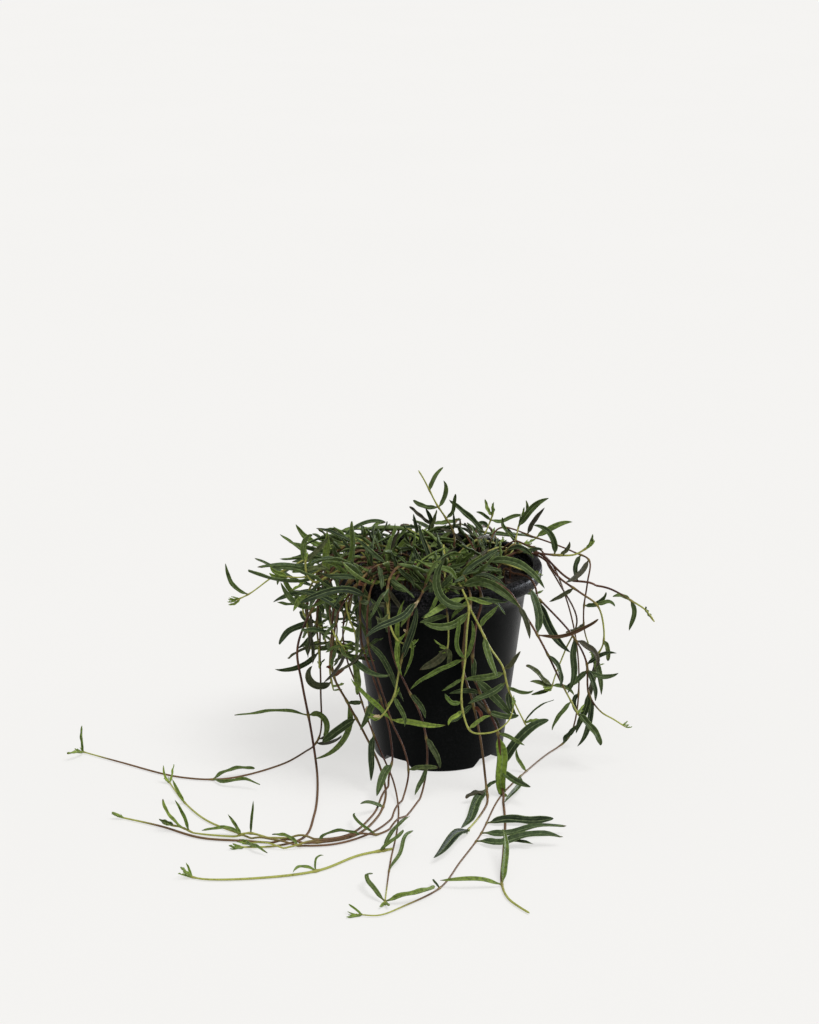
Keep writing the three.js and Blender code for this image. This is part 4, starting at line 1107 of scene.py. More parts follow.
# How the photo shows some of the given leaves: by (place, heading), what the scene changes on them.
SEEN_LOOKS = {
    "vine_far_left_runner": {
        (7.3, 25): {"youth": 0.35, "width": 2.6}, (7.3, -25): {"youth": 0.4, "width": 2.4},
        (10, 180): {"youth": 0.8, "width": 2}, (10, -125): {"youth": 0.8, "width": 2},
    },
    "vine_bundle_a": {
        (2.9, 180): {"youth": 0.35}, (8.7, 10): {"youth": 0.3, "width": 2.6, "heading": 10, "rise": 6},
    },
    "vine_bundle_b": {
        (9.2, 75): {"youth": 0.2, "width": 3, "length": 54}, (10, 105): {"youth": 0.3, "width": 3.2},
        (10, 25): {"youth": 0.6, "width": 3.8}, (2, 75): {"youth": 0.7, "width": 1.6},
        (2, -145): {"youth": 0.7, "width": 1.8}, (0.3, 70): {"youth": 0.25, "width": 2.8},
        (0.4, 5): {"youth": 0.35, "width": 2.4},
    },
    "vine_bundle_c": {
        (3.9, -32): {"youth": 0.85}, (3.9, -165): {"youth": 0.95},
        (1, -20): {"youth": 0.05}, (6, -30): {"youth": 0.2},
        (14, 180): {"youth": 0.8, "width": 2.2}, (15, 150): {"youth": 1, "width": 1.8},
        (15, 60): {"youth": 1, "width": 1.8},
    },
    "vine_bundle_e": {
        (9.6, -180): {"youth": 0.5, "width": 2.2}, (9.5, 0): {"youth": 0.4, "width": 2},
        (10.5, 180): {"youth": 0.7, "width": 2.4}, (10.6, 180): {"youth": 0.8, "width": 2.4},
    },
    "vine_left_fall": {(4.7, 180): {"youth": 0.3}, (4.7, -20): {"youth": 0.35}},
    "vine_left_hang_a": {
        (3.1, -170): {"youth": 0.1}, (3, -10): {"youth": 0.2},
    },
    "vine_left_hang_b": {(3.4, 180): {"youth": 0.05}},
    "vine_left_hang_c": {(3, 180): {"youth": 0.7}, (4, -90): {"youth": 0.35}},
    "vine_right_runner": {
        (7.7, 22): {"youth": 0, "heading": 3, "rise": 3, "length": 40, "curl": 8},
        (7.95, 2): {"youth": 0, "heading": 3, "rise": 5}, (8.25, -12): {"youth": 0, "heading": -3, "rise": 6},
        (6.2, -100): {"youth": 0.1}, (10, 115): {"length": 10, "width": 1.6},
    },
    "vine_right_front_fall": {
        (5.4, -104): {"youth": 0, "heading": -108, "rise": -9, "length": 52, "width": 6.6},
        (8, -115): {"youth": 0, "width": 6.6},
    },
    "vine_right_arch_a": {(2, 0): {"youth": 0, "width": 2.4, "dry": 0.25}},
    "vine_strap_fall": {
        (4.1, -85): {"youth": 1, "heading": -45, "rise": -81, "length": 48, "curl": 0, "width": 6.4},
        (4.1, -15): {"youth": 0.3},
        (9, 180): {"youth": 0.6, "width": 3.4}, (9, 80): {"youth": 0.45, "width": 3.6},
    },
    "vine_thin_left": {(3, 180): {"youth": 0.25, "width": 3.2}},
    "vine_yellow_front": {
        (3.9, -175): {"youth": 0.15}, (4.2, -170): {"youth": 0.25}, (6, -175): {"youth": 0.45},
        (6, -150): {"youth": 0.5}, (5.9, -35): {"youth": 0.5}, (6, 0): {"youth": 0.2, "width": 1.5},
        (1.5, -25): {"youth": 0.25}, (1.2, 25): {"youth": 0.35}, (3, -10): {"youth": 0.15},
        (4, -10): {"youth": 0.15},
    },
}

EXTRA_SEED = 5113
SEEN_GAP = 1.4
EXTRA_GAP = 1.9
EXTRA_SPACING = 9
EXTRA_START = 6
CROWN_FLOOR = 114
CROWN_EDGE = 76
CROWN_SPIN = 70
CROWN_SIZE = (0.6, 0.95)
ALREADY_LEAFY = 2
SEEN_STRAY = 2.5


def grow_seen_leaves(vine, stem, seen_leaves, draw):
    for seen in seen_leaves:
        defaults = [leaf_width(seen[3]), 0, 0]
        index, heading, rise, length, curl, youth, width, dry, turn = seen + defaults[len(seen) - 6:]
        wishes = wishes_near(
            stem["line"][index], heading, rise, SEEN_STRAY, draw,
            length=length, curl=curl, turn=turn, width=width, youth=youth, dry=dry,
        )
        grow_leaf(vine, stem, index, wishes, SEEN_GAP)


def grow_crown_leaves(vine, stem, draw):
    """Fills the crown with shorter pairs, so that it hides the soil as the real one does."""
    line = stem["line"]
    spin = between(draw, 0, 180)
    for index in range(EXTRA_START, len(line) - 2, EXTRA_SPACING // STEM_STEP):
        spin += CROWN_SPIN
        x, y, z = line[index]
        if z < CROWN_FLOOR or math.hypot(x, y) > CROWN_EDGE:
            continue
        if any(abs(leaf["at"] - index) < ALREADY_LEAFY for leaf in vine["leaves"] if leaf["stem"] is stem):
            continue
        grow_pair(vine, stem, index, spin, between(draw, *CROWN_SIZE), draw, EXTRA_GAP)


def grow_extra_leaves(vines):
    """Adds the leaves that are only for the eye: those seen in the photo, then more over the crown."""
    draw = seeded(EXTRA_SEED)
    for vine in vines:
        for stem, ending in zip(vine["stems"], ("", "_branch")):
            grow_seen_leaves(vine, stem, SEEN_LEAVES.get(vine["name"] + ending, []), draw)
    for vine in vines:
        for stem in vine["stems"]:
            grow_crown_leaves(vine, stem, draw)


class Surface:
    """Points, faces and values at the points that become one mesh object in metres."""

    def __init__(self, *names):
        self.points = []
        self.faces = []
        self.values = {name: [] for name in names}

    def add(self, points, faces, **values):
        start = len(self.points)
        self.points += points
        self.faces += [tuple(n + start for n in face) for face in faces]
        for name, items in self.values.items():
            items += values[name] if isinstance(values[name], list) else [values[name]] * len(points)

    def to_object(self, name, material, even=True):
        mesh = bpy.data.meshes.new(name)
        mesh.from_pydata([times(point, MM) for point in self.points], [], self.faces)
        for label, items in self.values.items():
            mesh.attributes.new(label, "FLOAT", "POINT").data.foreach_set("value", items)
        mesh.polygons.foreach_set("use_smooth", [even] * len(mesh.polygons))
        mesh.materials.append(material)
        mesh.update()
        piece = bpy.data.objects.new(name, mesh)
        bpy.context.scene.collection.objects.link(piece)
        return piece


def ring_faces(rings, sides):
    """Faces of a tube of rings. One more point at its start and one at its end close it."""
    faces = []
    for ring in range(rings - 1):
        for n in range(sides):
            a = ring * sides + n
            b = ring * sides + (n + 1) % sides
            faces.append((a, b, b + sides, a + sides))
    start = rings * sides
    last = (rings - 1) * sides
    for n in range(sides):
        faces.append((start, (n + 1) % sides, n))
        faces.append((start + 1, last + n, last + (n + 1) % sides))
    return faces


TUBE_SIDES = 10
TUBE_RADIUS = 0.76
TUBE_TIP_RADIUS = 0.55
TUBE_TAPER = (-10, 60)
TUBE_POINT = 0.6
KNOT_REACH = 1.7
KNOT_SWELL = 0.45
STOUT_RANGE = (0.7, 1.08)
STEM_STOUT = {"dark": 1.0, "mid": 1.0, "young": 0.82}


def refined(line):
    """The line with a smooth point between every two."""
    points = []
    for n in range(len(line) - 1):
        before = line[max(0, n - 1)]
        after = line[min(len(line) - 1, n + 2)]
        middle = tuple(
            (9 * (b + c) - a - d) / 16 for a, b, c, d in zip(before, line[n], line[n + 1], after)
        )
        points += [line[n], middle]
    return points + [line[-1]]


def tube_frames(points):
    """Two directions across a line at each point, turning as little as they can."""
    side = unit((1.0, 1.0, 0.0))
    frames = []
    for n, point in enumerate(points):
        along = unit(minus(points[min(len(points) - 1, n + 1)], points[max(0, n - 1)]))
        side = unit(plus(side, along, -dot(side, along)))
        frames.append((side, cross(along, side)))
    return frames


def grow_tube(surface, points, radii, **values):
    frames = tube_frames(points)
    rings = []
    for point, (side, other), radius in zip(points, frames, radii):
        for n in range(TUBE_SIDES):
            angle = n * 2 * math.pi / TUBE_SIDES
            placed = plus(plus(point, side, radius * math.cos(angle)), other, radius * math.sin(angle))
            rings.append((placed[0], placed[1], max(placed[2], 0.0)))
    tip = plus(points[-1], unit(minus(points[-1], points[-2])), radii[-1] * TUBE_POINT)
    spread = {
        name: [item for item in items for _ in range(TUBE_SIDES)] + [items[0], items[-1]]
        for name, items in values.items()
    }
    surface.add(rings + [points[0], tip], ring_faces(len(points), TUBE_SIDES), **spread)


GREEN_LENGTH = {"dark": 25, "mid": 45, "young": 400}
GREEN_FADE = (0.45, 1.15)


def stem_values(vine, stem, points, looks):
    """Radius, youth and knot share at each refined point of a stem."""
    tip = len(points) - 1
    spacing = distance(stem["line"][4], stem["line"][5]) / 2
    knots = sorted({2 * leaf["at"] for leaf in vine["leaves"] if leaf["stem"] is stem})
    green = stem["route"].get("green", GREEN_LENGTH[vine["tone"]])
    stout = between(looks, *STOUT_RANGE) * STEM_STOUT[vine["tone"]]
    fade_end, fade_start = [green * share for share in GREEN_FADE]
    radii, young, knotted = [], [], []
    for n in range(len(points)):
        knot = max((math.exp(-(((n - k) * spacing / KNOT_REACH) ** 2)) for k in knots), default=0)
        to_tip = (tip - n) * spacing
        radius = stout * mix(TUBE_TIP_RADIUS, TUBE_RADIUS, smooth(*TUBE_TAPER, to_tip))
        radii.append(radius * (1 + KNOT_SWELL * knot))
        young.append(1 - smooth(fade_end, fade_start, to_tip))
        knotted.append(knot)
    radii[-1] *= TUBE_POINT
    return radii, young, knotted


# Across a leaf, from one edge over the top to the other and back below, as shares of the half width.
LEAF_TOP = (1, 0.8, 0.52, 0.26, 0, -0.26, -0.52, -0.8)
LEAF_BELOW = (-1, -0.74, -0.38, 0, 0.38, 0.74)
LEAF_PLACES = (
    0, 0.025, 0.05, 0.08, 0.12, 0.17, 0.23, 0.3, 0.37, 0.44, 0.51, 0.58, 0.65, 0.72, 0.79, 0.85, 0.9, 0.94,
    0.97, 0.99,
)
FINE_STEPS = 100
PETIOLE_RADIUS = 0.5
BLUNT_SHARE = 0.2
BLADE_FOOT = 0.2
BLADE_FULL = 0.24
TAPER_FROM = 0.46
BLUNT_TAPER = (4.0, 0.6)
SHARP_TAPER = (2.2, 0.85)
SWAY = 0.04
LIFT = 0.02
WAVES = (1.2, 2.2)
WAVE_START = 0.3


def blade_profile(share, blunt):
    """Share of the half width along a leaf: strap-like, with a narrow foot and a short taper."""
    rising = BLADE_FOOT + (1 - BLADE_FOOT) * math.sin(math.pi / 2 * min(1, share / BLADE_FULL))
    fall = clamp((share - TAPER_FROM) / (1 - TAPER_FROM))
    curve, fullness = BLUNT_TAPER if blunt else SHARP_TAPER
    return rising * (1 - fall ** curve) ** fullness


def blade_line(leaf, looks):
    """A leaf's midrib with small waves, and its sideways directions."""
    points, sides = midrib(leaf, FINE_STEPS)
    sway = between(looks, -1, 1) * SWAY * leaf["length"]
    lift = between(looks, -1, 1) * LIFT * leaf["length"]
    waves = between(looks, *WAVES) * math.pi
    moved = []
    for n, point in enumerate(points):
        share = n / FINE_STEPS
        wave = math.sin(waves * share) * smooth(0, WAVE_START, share)
        point = plus(plus(point, sides[n], sway * wave), UP, lift * wave)
        moved.append((point[0], point[1], max(point[2], LEAF_REST * 0.6)))
    return moved, sides


FOLD_CURVE = 1.4
FOLD_LEVEL = 0.4
TOP_SWELL = 0.3
GROOVE_DEPTH = 0.2
GROOVE_WIDTH = 0.2
BELLY_CURVE = 2.6
BELLY_FULLNESS = 0.7
KEEL_DEPTH = 0.12
KEEL_WIDTH = 0.25
EDGE_UNDER = 0.3
EDGE_FROM = 0.7


def leaf_section(half, body, fold, blade):
    """Points across a leaf, sideways and up: a channelled top, a keel below, and round at the stalk."""
    section = []
    for top, places in ((True, LEAF_TOP), (False, LEAF_BELOW)):
        for s in places:
            raised = fold * half * (abs(s) ** FOLD_CURVE - FOLD_LEVEL)
            if top:
                groove = GROOVE_DEPTH * math.exp(-((s / GROOVE_WIDTH) ** 2))
                height = raised + body * (TOP_SWELL * math.sin(math.pi * abs(s)) - groove)
            else:
                keel = KEEL_DEPTH * math.exp(-((s / KEEL_WIDTH) ** 2))
                height = raised - body * ((1 - abs(s) ** BELLY_CURVE) ** BELLY_FULLNESS + keel)
            angle = math.acos(s) if top else -math.acos(s)
            x = mix(PETIOLE_RADIUS * math.cos(angle), half * s, blade)
            z = mix(PETIOLE_RADIUS * math.sin(angle), height, blade)
            under = 0.0 if top else 1 - (1 - EDGE_UNDER) * smooth(EDGE_FROM, 1, abs(s))
            section.append((x, z, float(s), under))
    return section


NARROWEST = 0.74
WIDEST = 1.06
FOLD = (0.1, 0.7)
THICKNESS = (0.55, 0.75)
THICK_FOR_HALF = 1.5
RIPPLE = 0.6
RIPPLE_WAVES = 17
RIPPLE_PHASE = 6
THINNEST_HALF = 0.12
STALK = (0.03, 0.15)
LARGE_LEAF = (24, 40)
TWIST = 110
SEEN_TWIST = 40
TO_FRONT = 1.6
FLOOR_REST = 0.15
FRONT_FACE = (0.0, -0.94, 0.34)
LYING_FACE = (0.0, -0.5, 0.87)
LYING_BELOW = 12
RULE_CALM = 0.6
RULE_LONGER = 1.12
RULE_NARROWER = 0.88


def as_seen(vine, leaf):
    """A leaf that the photo shows, its flat side to the front as there. The others bend a little less."""
    if "given" not in leaf and "youth" not in leaf:
        return {
            **leaf,
            "curl": leaf["curl"] * RULE_CALM,
            "length": leaf["length"] * RULE_LONGER,
            "width": leaf["width"] * RULE_NARROWER,
        }
    look = SEEN_LOOKS.get(vine["name"], {}).get(leaf.get("given"), {})
    shown = LYING_FACE if leaf["base"][2] < LYING_BELOW else FRONT_FACE
    return {**leaf, **look, "face": unit(plus(leaf["face"], shown, TO_FRONT)), "twist": SEEN_TWIST}


def blade_frame(points, sides, n, turn):
    """The blade's sideways and upward directions at a point of its line, turned by an angle."""
    ahead = unit(minus(points[min(FINE_STEPS, n + 1)], points[max(0, n - 1)]))
    side = unit(plus(sides[n], ahead, -dot(sides[n], ahead)))
    top = cross(side, ahead)
    side = plus(times(side, math.cos(turn)), top, math.sin(turn))
    return side, cross(side, ahead)


def grow_blade(surface, leaf, looks, young):
    """One fleshy leaf: a short stalk, a channelled blade with a keel, and a pointed or rounded tip."""
    points, sides = blade_line(leaf, looks)
    blunt = looks() < BLUNT_SHARE
    width = leaf["width"] * between(looks, NARROWEST, WIDEST)
    fold = between(looks, *FOLD)
    twist = between(looks, -1, 1) * abs(between(looks, -1, 1)) * leaf.get("twist", TWIST) * DEGREE
    ripple = between(looks, 0, RIPPLE)
    phase = between(looks, 0, RIPPLE_PHASE)
    chance = looks()
    thick = LEAF_THICK * between(looks, *THICKNESS)
    rings, across, along, under = [], [], [], []
    for share in LEAF_PLACES:
        n = min(FINE_STEPS, round(share * FINE_STEPS))
        side, top = blade_frame(points, sides, n, twist * share)
        half = max(THINNEST_HALF, 0.5 * width * blade_profile(share, blunt))
        blade = smooth(*STALK, share)
        for x, z, s, below in leaf_section(half, min(thick, half * THICK_FOR_HALF), fold, blade):
            z += ripple * s * blade * math.sin(share * RIPPLE_WAVES + phase + s)
            placed = plus(plus(points[n], side, x), top, z)
            rings.append((placed[0], placed[1], max(placed[2], FLOOR_REST)))
            across.append(s)
            along.append(share)
            under.append(below)
    surface.add(
        rings + [points[0], points[-1]],
        ring_faces(len(LEAF_PLACES), len(LEAF_TOP) + len(LEAF_BELOW)),
        across=across + [0.0, 0.0],
        along=along + [0.0, 1.0],
        under=under + [0.0, 0.0],
        chance=chance,
        young=young,
        dry=leaf.get("dry", 0),
        large=smooth(*LARGE_LEAF, leaf["length"]),
    )


TUFT_LEAVES = 4
TUFT_LENGTH = (4, 10)
TUFT_INNER = 0.6
TUFT_SPREAD = (6, 30)
TUFT_LOWEST = -4
TUFT_LIFT = 30
TUFT_CURL = (-40, 20)
TUFT_WIDTH_SHARE = 0.16
TUFT_WIDTH = (0.7, 1.5)
TUFT_YOUTH = 0.9


def tip_tuft(stem, looks):
    """The newest leaves at a stem's end, still small and close together."""
    line = stem["line"]
    ahead = unit(minus(line[-1], line[-3]))
    heading = math.atan2(ahead[1], ahead[0]) / DEGREE
    rise = math.asin(clamp(ahead[2], -1, 1)) / DEGREE
    leaves = []
    for n in range(TUFT_LEAVES):
        length = between(looks, *TUFT_LENGTH) * (1 if n < 2 else TUFT_INNER)
        leaves.append({
            "base": line[-1 if n > 1 else -2],
            "heading": heading + (1 if n % 2 else -1) * between(looks, *TUFT_SPREAD),
            "rise": max(rise, TUFT_LOWEST) + between(looks, 0, TUFT_LIFT),
            "length": length,
            "curl": between(looks, *TUFT_CURL),
            "turn": 0,
            "width": clamp(length * TUFT_WIDTH_SHARE, *TUFT_WIDTH),
            "face": UP,
        })
    return leaves


LOOK_SEED = 90210
BARE_TIPS = ("vine_thin_right", "vine_strap_fall", "vine_top_sprig")
TONE_YOUTH = {"dark": 0.0, "mid": 0.07, "young": 0.5}
NEAR_TIP = 60
SMALL_LEAF = (8, 30)
OLD_LEAF = (30, 46)
BRIGHT_CHANCE = 0.11
BRIGHT_YOUTH = 0.42
NEAR_YOUTH = 0.12
SMALL_YOUTH = 0.15
OLD_YOUTH = -0.35


def leaf_youth(vine, leaf, looks):
    """How young a leaf looks: by its vine, how near the stem's end it grows, and how small it is."""
    if "youth" in leaf:
        return leaf["youth"]
    to_tip = (len(leaf["stem"]["line"]) - 2 - leaf["at"]) * STEM_STEP
    near = 1 - smooth(0, NEAR_TIP, to_tip)
    small = 1 - smooth(*SMALL_LEAF, leaf["length"])
    old = smooth(*OLD_LEAF, leaf["length"])
    youth = TONE_YOUTH[vine["tone"]] + (BRIGHT_YOUTH if looks() < BRIGHT_CHANCE else 0.0)
    return clamp(youth + NEAR_YOUTH * near + SMALL_YOUTH * small * near + OLD_YOUTH * old)


def dress_vine(vine, looks):
    """The fine stems and leaves that stand for one vine's solid."""
    stems = Surface("young", "knot", "chance")
    leaves = Surface("across", "along", "under", "chance", "young", "dry", "large")
    for stem in vine["stems"]:
        points = refined(stem["line"])
        radii, young, knotted = stem_values(vine, stem, points, looks)
        chance = looks()
        grow_tube(stems, points, radii, young=young, knot=knotted, chance=[chance] * len(points))
        if vine["name"] not in BARE_TIPS:
            for leaf in tip_tuft(stem, looks):
                grow_blade(leaves, leaf, looks, TUFT_YOUTH)
    for grown in vine["leaves"]:
        leaf = as_seen(vine, grown)
        grow_blade(leaves, leaf, looks, leaf_youth(vine, leaf, looks))
    for piece in (
        stems.to_object(f"{vine['name']}_stem", STEM_SKIN),
        leaves.to_object(f"{vine['name']}_leaves", LEAF_SKIN),
    ):
        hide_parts(vine["name"])
        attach(piece, "root")


def new_material(name):
    material = bpy.data.materials.new(name)
    material.use_nodes = True
    tree = material.node_tree
    return material, tree, tree.nodes["Principled BSDF"]


def put(tree, kind, inputs=None, **settings):
    """Adds a node. Each input is a number, a colour or another node's output."""
    made = tree.nodes.new(kind)
    for name, value in settings.items():
        setattr(made, name, value)
    for name, value in (inputs or {}).items():
        if isinstance(value, bpy.types.NodeSocket):
            tree.links.new(value, made.inputs[name])
        else:
            made.inputs[name].default_value = value
    return made


def value_of(tree, name):
    return put(tree, "ShaderNodeAttribute", attribute_name=name).outputs["Fac"]


def blend_colours(tree, share, a, b):
    made = put(tree, "ShaderNodeMix", data_type="RGBA")
    for socket, value in ((made.inputs[0], share), (made.inputs[6], a), (made.inputs[7], b)):
        if isinstance(value, bpy.types.NodeSocket):
            tree.links.new(value, socket)
        else:
            socket.default_value = value if isinstance(value, float) else (*value, 1)
    return made.outputs[2]


def mapped(tree, value, low, high, to_low=0.0, to_high=1.0):
    inputs = {"Value": value, "From Min": low, "From Max": high, "To Min": to_low, "To Max": to_high}
    return put(tree, "ShaderNodeMapRange", inputs, interpolation_type="SMOOTHSTEP").outputs[0]


def worked(tree, operation, *values):
    return put(tree, "ShaderNodeMath", dict(enumerate(values)), operation=operation).outputs[0]


def noise_of(tree, scale, detail=3.0, rough=0.55, vector=None):
    inputs = {"Scale": scale, "Detail": detail, "Roughness": rough}
    if vector is None:
        vector = put(tree, "ShaderNodeTexCoord").outputs["Object"]
    inputs["Vector"] = vector
    return put(tree, "ShaderNodeTexNoise", inputs).outputs["Fac"]


def bumped(tree, shader, height, strength, reach):
    bump = put(tree, "ShaderNodeBump", {"Height": height, "Strength": strength, "Distance": reach})
    tree.links.new(bump.outputs[0], shader.inputs["Normal"])


def finish_skin(tree, shader, colour, roughness, gloss):
    """Gives the shader its colour, its roughness (a number or a node's output) and its gloss."""
    tree.links.new(colour, shader.inputs["Base Color"])
    if isinstance(roughness, bpy.types.NodeSocket):
        tree.links.new(roughness, shader.inputs["Roughness"])
    else:
        shader.inputs["Roughness"].default_value = roughness
    shader.inputs["Specular IOR Level"].default_value = gloss


def height_of(tree):
    """The height over the floor, in metres."""
    place = put(tree, "ShaderNodeTexCoord").outputs["Object"]
    return put(tree, "ShaderNodeSeparateXYZ", {0: place}).outputs[2]


def leaf_streaks(tree, across, along, chance):
    """Noise drawn out along each leaf, different on every one."""
    place = put(tree, "ShaderNodeCombineXYZ", {
        0: worked(tree, "MULTIPLY", across, 4.0),
        1: worked(tree, "MULTIPLY", along, 3.0),
        2: worked(tree, "MULTIPLY", chance, 60.0),
    }).outputs[0]
    return noise_of(tree, 1.7, 4.0, 0.62, place)


LEAF_DEEP = (0.005, 0.012, 0.005)
LEAF_GREEN = (0.062, 0.100, 0.034)
# Pale streak colour: the leaf's own variegation, greyed as a painted sheen.
LEAF_STREAK_AND_SHEEN = (0.130, 0.168, 0.082)
LEAF_YOUNG = (0.150, 0.240, 0.028)
LEAF_YOUNGEST = (0.310, 0.410, 0.070)
# Midrib and edge colours: the leaf's own pale rib and margin, lightened as a painted highlight.
LEAF_RIB_AND_HIGHLIGHT = (0.240, 0.305, 0.140)
LEAF_EDGE_AND_HIGHLIGHT = (0.265, 0.345, 0.125)
UNDER_OLD = (0.085, 0.125, 0.030)
UNDER_YOUNG = (0.210, 0.290, 0.090)
LEAF_FOOT = (0.170, 0.140, 0.030)
LEAF_BLUSH = (0.060, 0.038, 0.034)
LEAF_TIP = (0.100, 0.055, 0.025)
LEAF_MOTTLE = (0.010, 0.020, 0.008)
LEAF_REDDISH = (0.130, 0.045, 0.025)
LEAF_DRY = (0.560, 0.450, 0.270)


def leaf_skin():
    """Dark waxy leaves: a pale midrib and pale edges, their own colour lightened with a painted highlight,
    pale streaks greyed with a painted sheen, a greyer underside, and yellow-green where they are young.
    """
    material, tree, shader = new_material("leaf_skin")
    across, along = value_of(tree, "across"), value_of(tree, "along")
    under, chance, young = value_of(tree, "under"), value_of(tree, "chance"), value_of(tree, "young")
    dried, large = value_of(tree, "dry"), value_of(tree, "large")
    streak = leaf_streaks(tree, across, along, chance)
    mottle = noise_of(tree, 520.0, 3.0, 0.6)
    patch = noise_of(tree, 70.0, 2.0, 0.5)
    tone = worked(tree, "ADD", worked(tree, "MULTIPLY", chance, 0.62), worked(tree, "MULTIPLY", patch, 0.5))
    deep = blend_colours(tree, mapped(tree, tone, 0.25, 0.95), LEAF_DEEP, LEAF_GREEN)
    # Pale streaks along the leaf: its variegation, partly painted sheen.
    deep = blend_colours(tree, mapped(tree, streak, 0.42, 0.7, 0.0, 0.5), deep, LEAF_STREAK_AND_SHEEN)
    fresh = blend_colours(tree, chance, LEAF_YOUNG, LEAF_YOUNGEST)
    colour = blend_colours(tree, young, deep, fresh)
    away = worked(tree, "ABSOLUTE", across)
    # Pale midrib: partly the leaf's own colour, partly painted highlight.
    rib_and_highlight = mapped(tree, away, 0.02, 0.15, 0.6, 0.0)
    colour = blend_colours(tree, rib_and_highlight, colour, LEAF_RIB_AND_HIGHLIGHT)
    # Pale edges: partly the margin's own colour, partly painted highlight.
    edge = mapped(tree, away, 0.80, 1.0, 0.0, 0.75)
    colour = blend_colours(tree, edge, colour, LEAF_EDGE_AND_HIGHLIGHT)
    pale = worked(tree, "MULTIPLY", under, mapped(tree, young, 0.1, 0.8, 0.7, 0.3))
    below = blend_colours(tree, young, UNDER_OLD, UNDER_YOUNG)
    colour = blend_colours(tree, pale, colour, below)
    foot = mapped(tree, along, 0.0, 0.12, 0.5, 0.0)
    colour = blend_colours(tree, foot, colour, LEAF_FOOT)
    purple = mapped(tree, chance, 0.76, 0.88, 0.0, 0.75)
    blush = worked(tree, "MULTIPLY", purple, mapped(tree, young, 0.1, 0.5, 1.0, 0.0))
    blush = worked(tree, "MULTIPLY", blush, mapped(tree, large, 0.0, 0.8, 1.0, 0.0))
    colour = blend_colours(tree, blush, colour, LEAF_BLUSH)
    dry = worked(tree, "MULTIPLY", mapped(tree, along, 0.93, 1.0), mapped(tree, chance, 0.45, 0.9))
    colour = blend_colours(tree, dry, colour, LEAF_TIP)
    colour = blend_colours(tree, mapped(tree, mottle, 0.38, 0.66, 0.0, 0.5), colour, LEAF_MOTTLE)
    colour = blend_colours(tree, mapped(tree, dried, 0.0, 0.5), colour, LEAF_REDDISH)
    colour = blend_colours(tree, mapped(tree, dried, 0.5, 1.0), colour, LEAF_DRY)
    finish_skin(tree, shader, colour, mapped(tree, streak, 0.3, 0.7, 0.50, 0.66), 0.13)
    height = worked(tree, "ADD", streak, worked(tree, "MULTIPLY", mottle, 0.35))
    bumped(tree, shader, height, 0.2, 0.0004)
    return material


STEM_OLD = (0.055, 0.022, 0.016)
STEM_BROWN = (0.130, 0.062, 0.034)
STEM_OLIVE = (0.135, 0.092, 0.034)
STEM_TAN = (0.200, 0.120, 0.060)
STEM_YOUNG = (0.300, 0.330, 0.060)
STEM_YOUNGEST = (0.430, 0.440, 0.130)
STEM_KNOT = (0.250, 0.215, 0.060)
STEM_GRAIN = (0.030, 0.018, 0.012)


def stem_skin():
    """Wiry stems: purple-brown where old, yellow-green towards the tip, greener at the knots, tan below."""
    material, tree, shader = new_material("stem_skin")
    young, knot, chance = value_of(tree, "young"), value_of(tree, "knot"), value_of(tree, "chance")
    grain = noise_of(tree, 900.0, 3.0, 0.6)
    patch = noise_of(tree, 60.0, 3.0, 0.6)
    old = blend_colours(tree, mapped(tree, patch, 0.35, 0.68), STEM_OLD, STEM_BROWN)
    old = blend_colours(tree, mapped(tree, chance, 0.4, 1.0, 0.0, 0.6), old, STEM_OLIVE)
    height = height_of(tree)
    old = blend_colours(tree, mapped(tree, height, 0.002, 0.014, 0.55, 0.0), old, STEM_TAN)
    new = blend_colours(tree, patch, STEM_YOUNG, STEM_YOUNGEST)
    colour = blend_colours(tree, young, old, new)
    colour = blend_colours(tree, worked(tree, "MULTIPLY", knot, 0.55), colour, STEM_KNOT)
    colour = blend_colours(tree, mapped(tree, grain, 0.4, 0.75, 0.0, 0.4), colour, STEM_GRAIN)
    finish_skin(tree, shader, colour, 0.5, 0.12)
    bumped(tree, shader, grain, 0.45, 0.0002)
    return material


POT_BLACK = (0.0001, 0.0006, 0.0005)
POT_WORN = (0.0006, 0.0013, 0.0012)
POT_DUST = (0.125, 0.115, 0.130)


def pot_plastic():
    """Black moulded plastic, finely grained, with grey dust and scuffs towards the rim."""
    material, tree, shader = new_material("pot_plastic")
    height = height_of(tree)
    grain = noise_of(tree, 1400.0, 2.0, 0.5)
    cloud = noise_of(tree, 38.0, 5.0, 0.65)
    fleck = noise_of(tree, 800.0, 4.0, 0.7)
    collar = mapped(tree, height, 0.100, 0.116, 0.05, 0.45)
    dust = worked(tree, "MULTIPLY", mapped(tree, fleck, 0.42, 0.7), mapped(tree, cloud, 0.3, 0.7))
    dust = worked(tree, "MULTIPLY", dust, collar)
    colour = blend_colours(tree, cloud, POT_BLACK, POT_WORN)
    colour = blend_colours(tree, dust, colour, POT_DUST)
    finish_skin(tree, shader, colour, mapped(tree, cloud, 0.3, 0.75, 0.30, 0.42), 0.05)
    bumped(tree, shader, worked(tree, "ADD", grain, worked(tree, "MULTIPLY", fleck, 0.6)), 0.3, 0.0003)
    return material


SOIL_DARK = (0.004, 0.003, 0.003)
SOIL_BROWN = (0.022, 0.014, 0.010)
SOIL_FIBRE = (0.036, 0.025, 0.019)


def soil_skin():
    """Damp potting mix: near black, with brown fibre."""
    material, tree, shader = new_material("soil_skin")
    crumb = noise_of(tree, 300.0, 6.0, 0.7)
    patch = noise_of(tree, 90.0, 3.0, 0.6)
    colour = blend_colours(tree, mapped(tree, crumb, 0.35, 0.7), SOIL_DARK, SOIL_BROWN)
    colour = blend_colours(tree, mapped(tree, patch, 0.55, 0.8, 0.0, 0.5), colour, SOIL_FIBRE)
    finish_skin(tree, shader, colour, 0.9, 0.2)
    bumped(tree, shader, crumb, 1.0, 0.0012)
    return material


BARK_DARK = (0.006, 0.004, 0.003)
BARK_BROWN = (0.042, 0.026, 0.018)
BARK_TAN = (0.260, 0.220, 0.180)
BARK_FIBRE = (0.014, 0.009, 0.006)


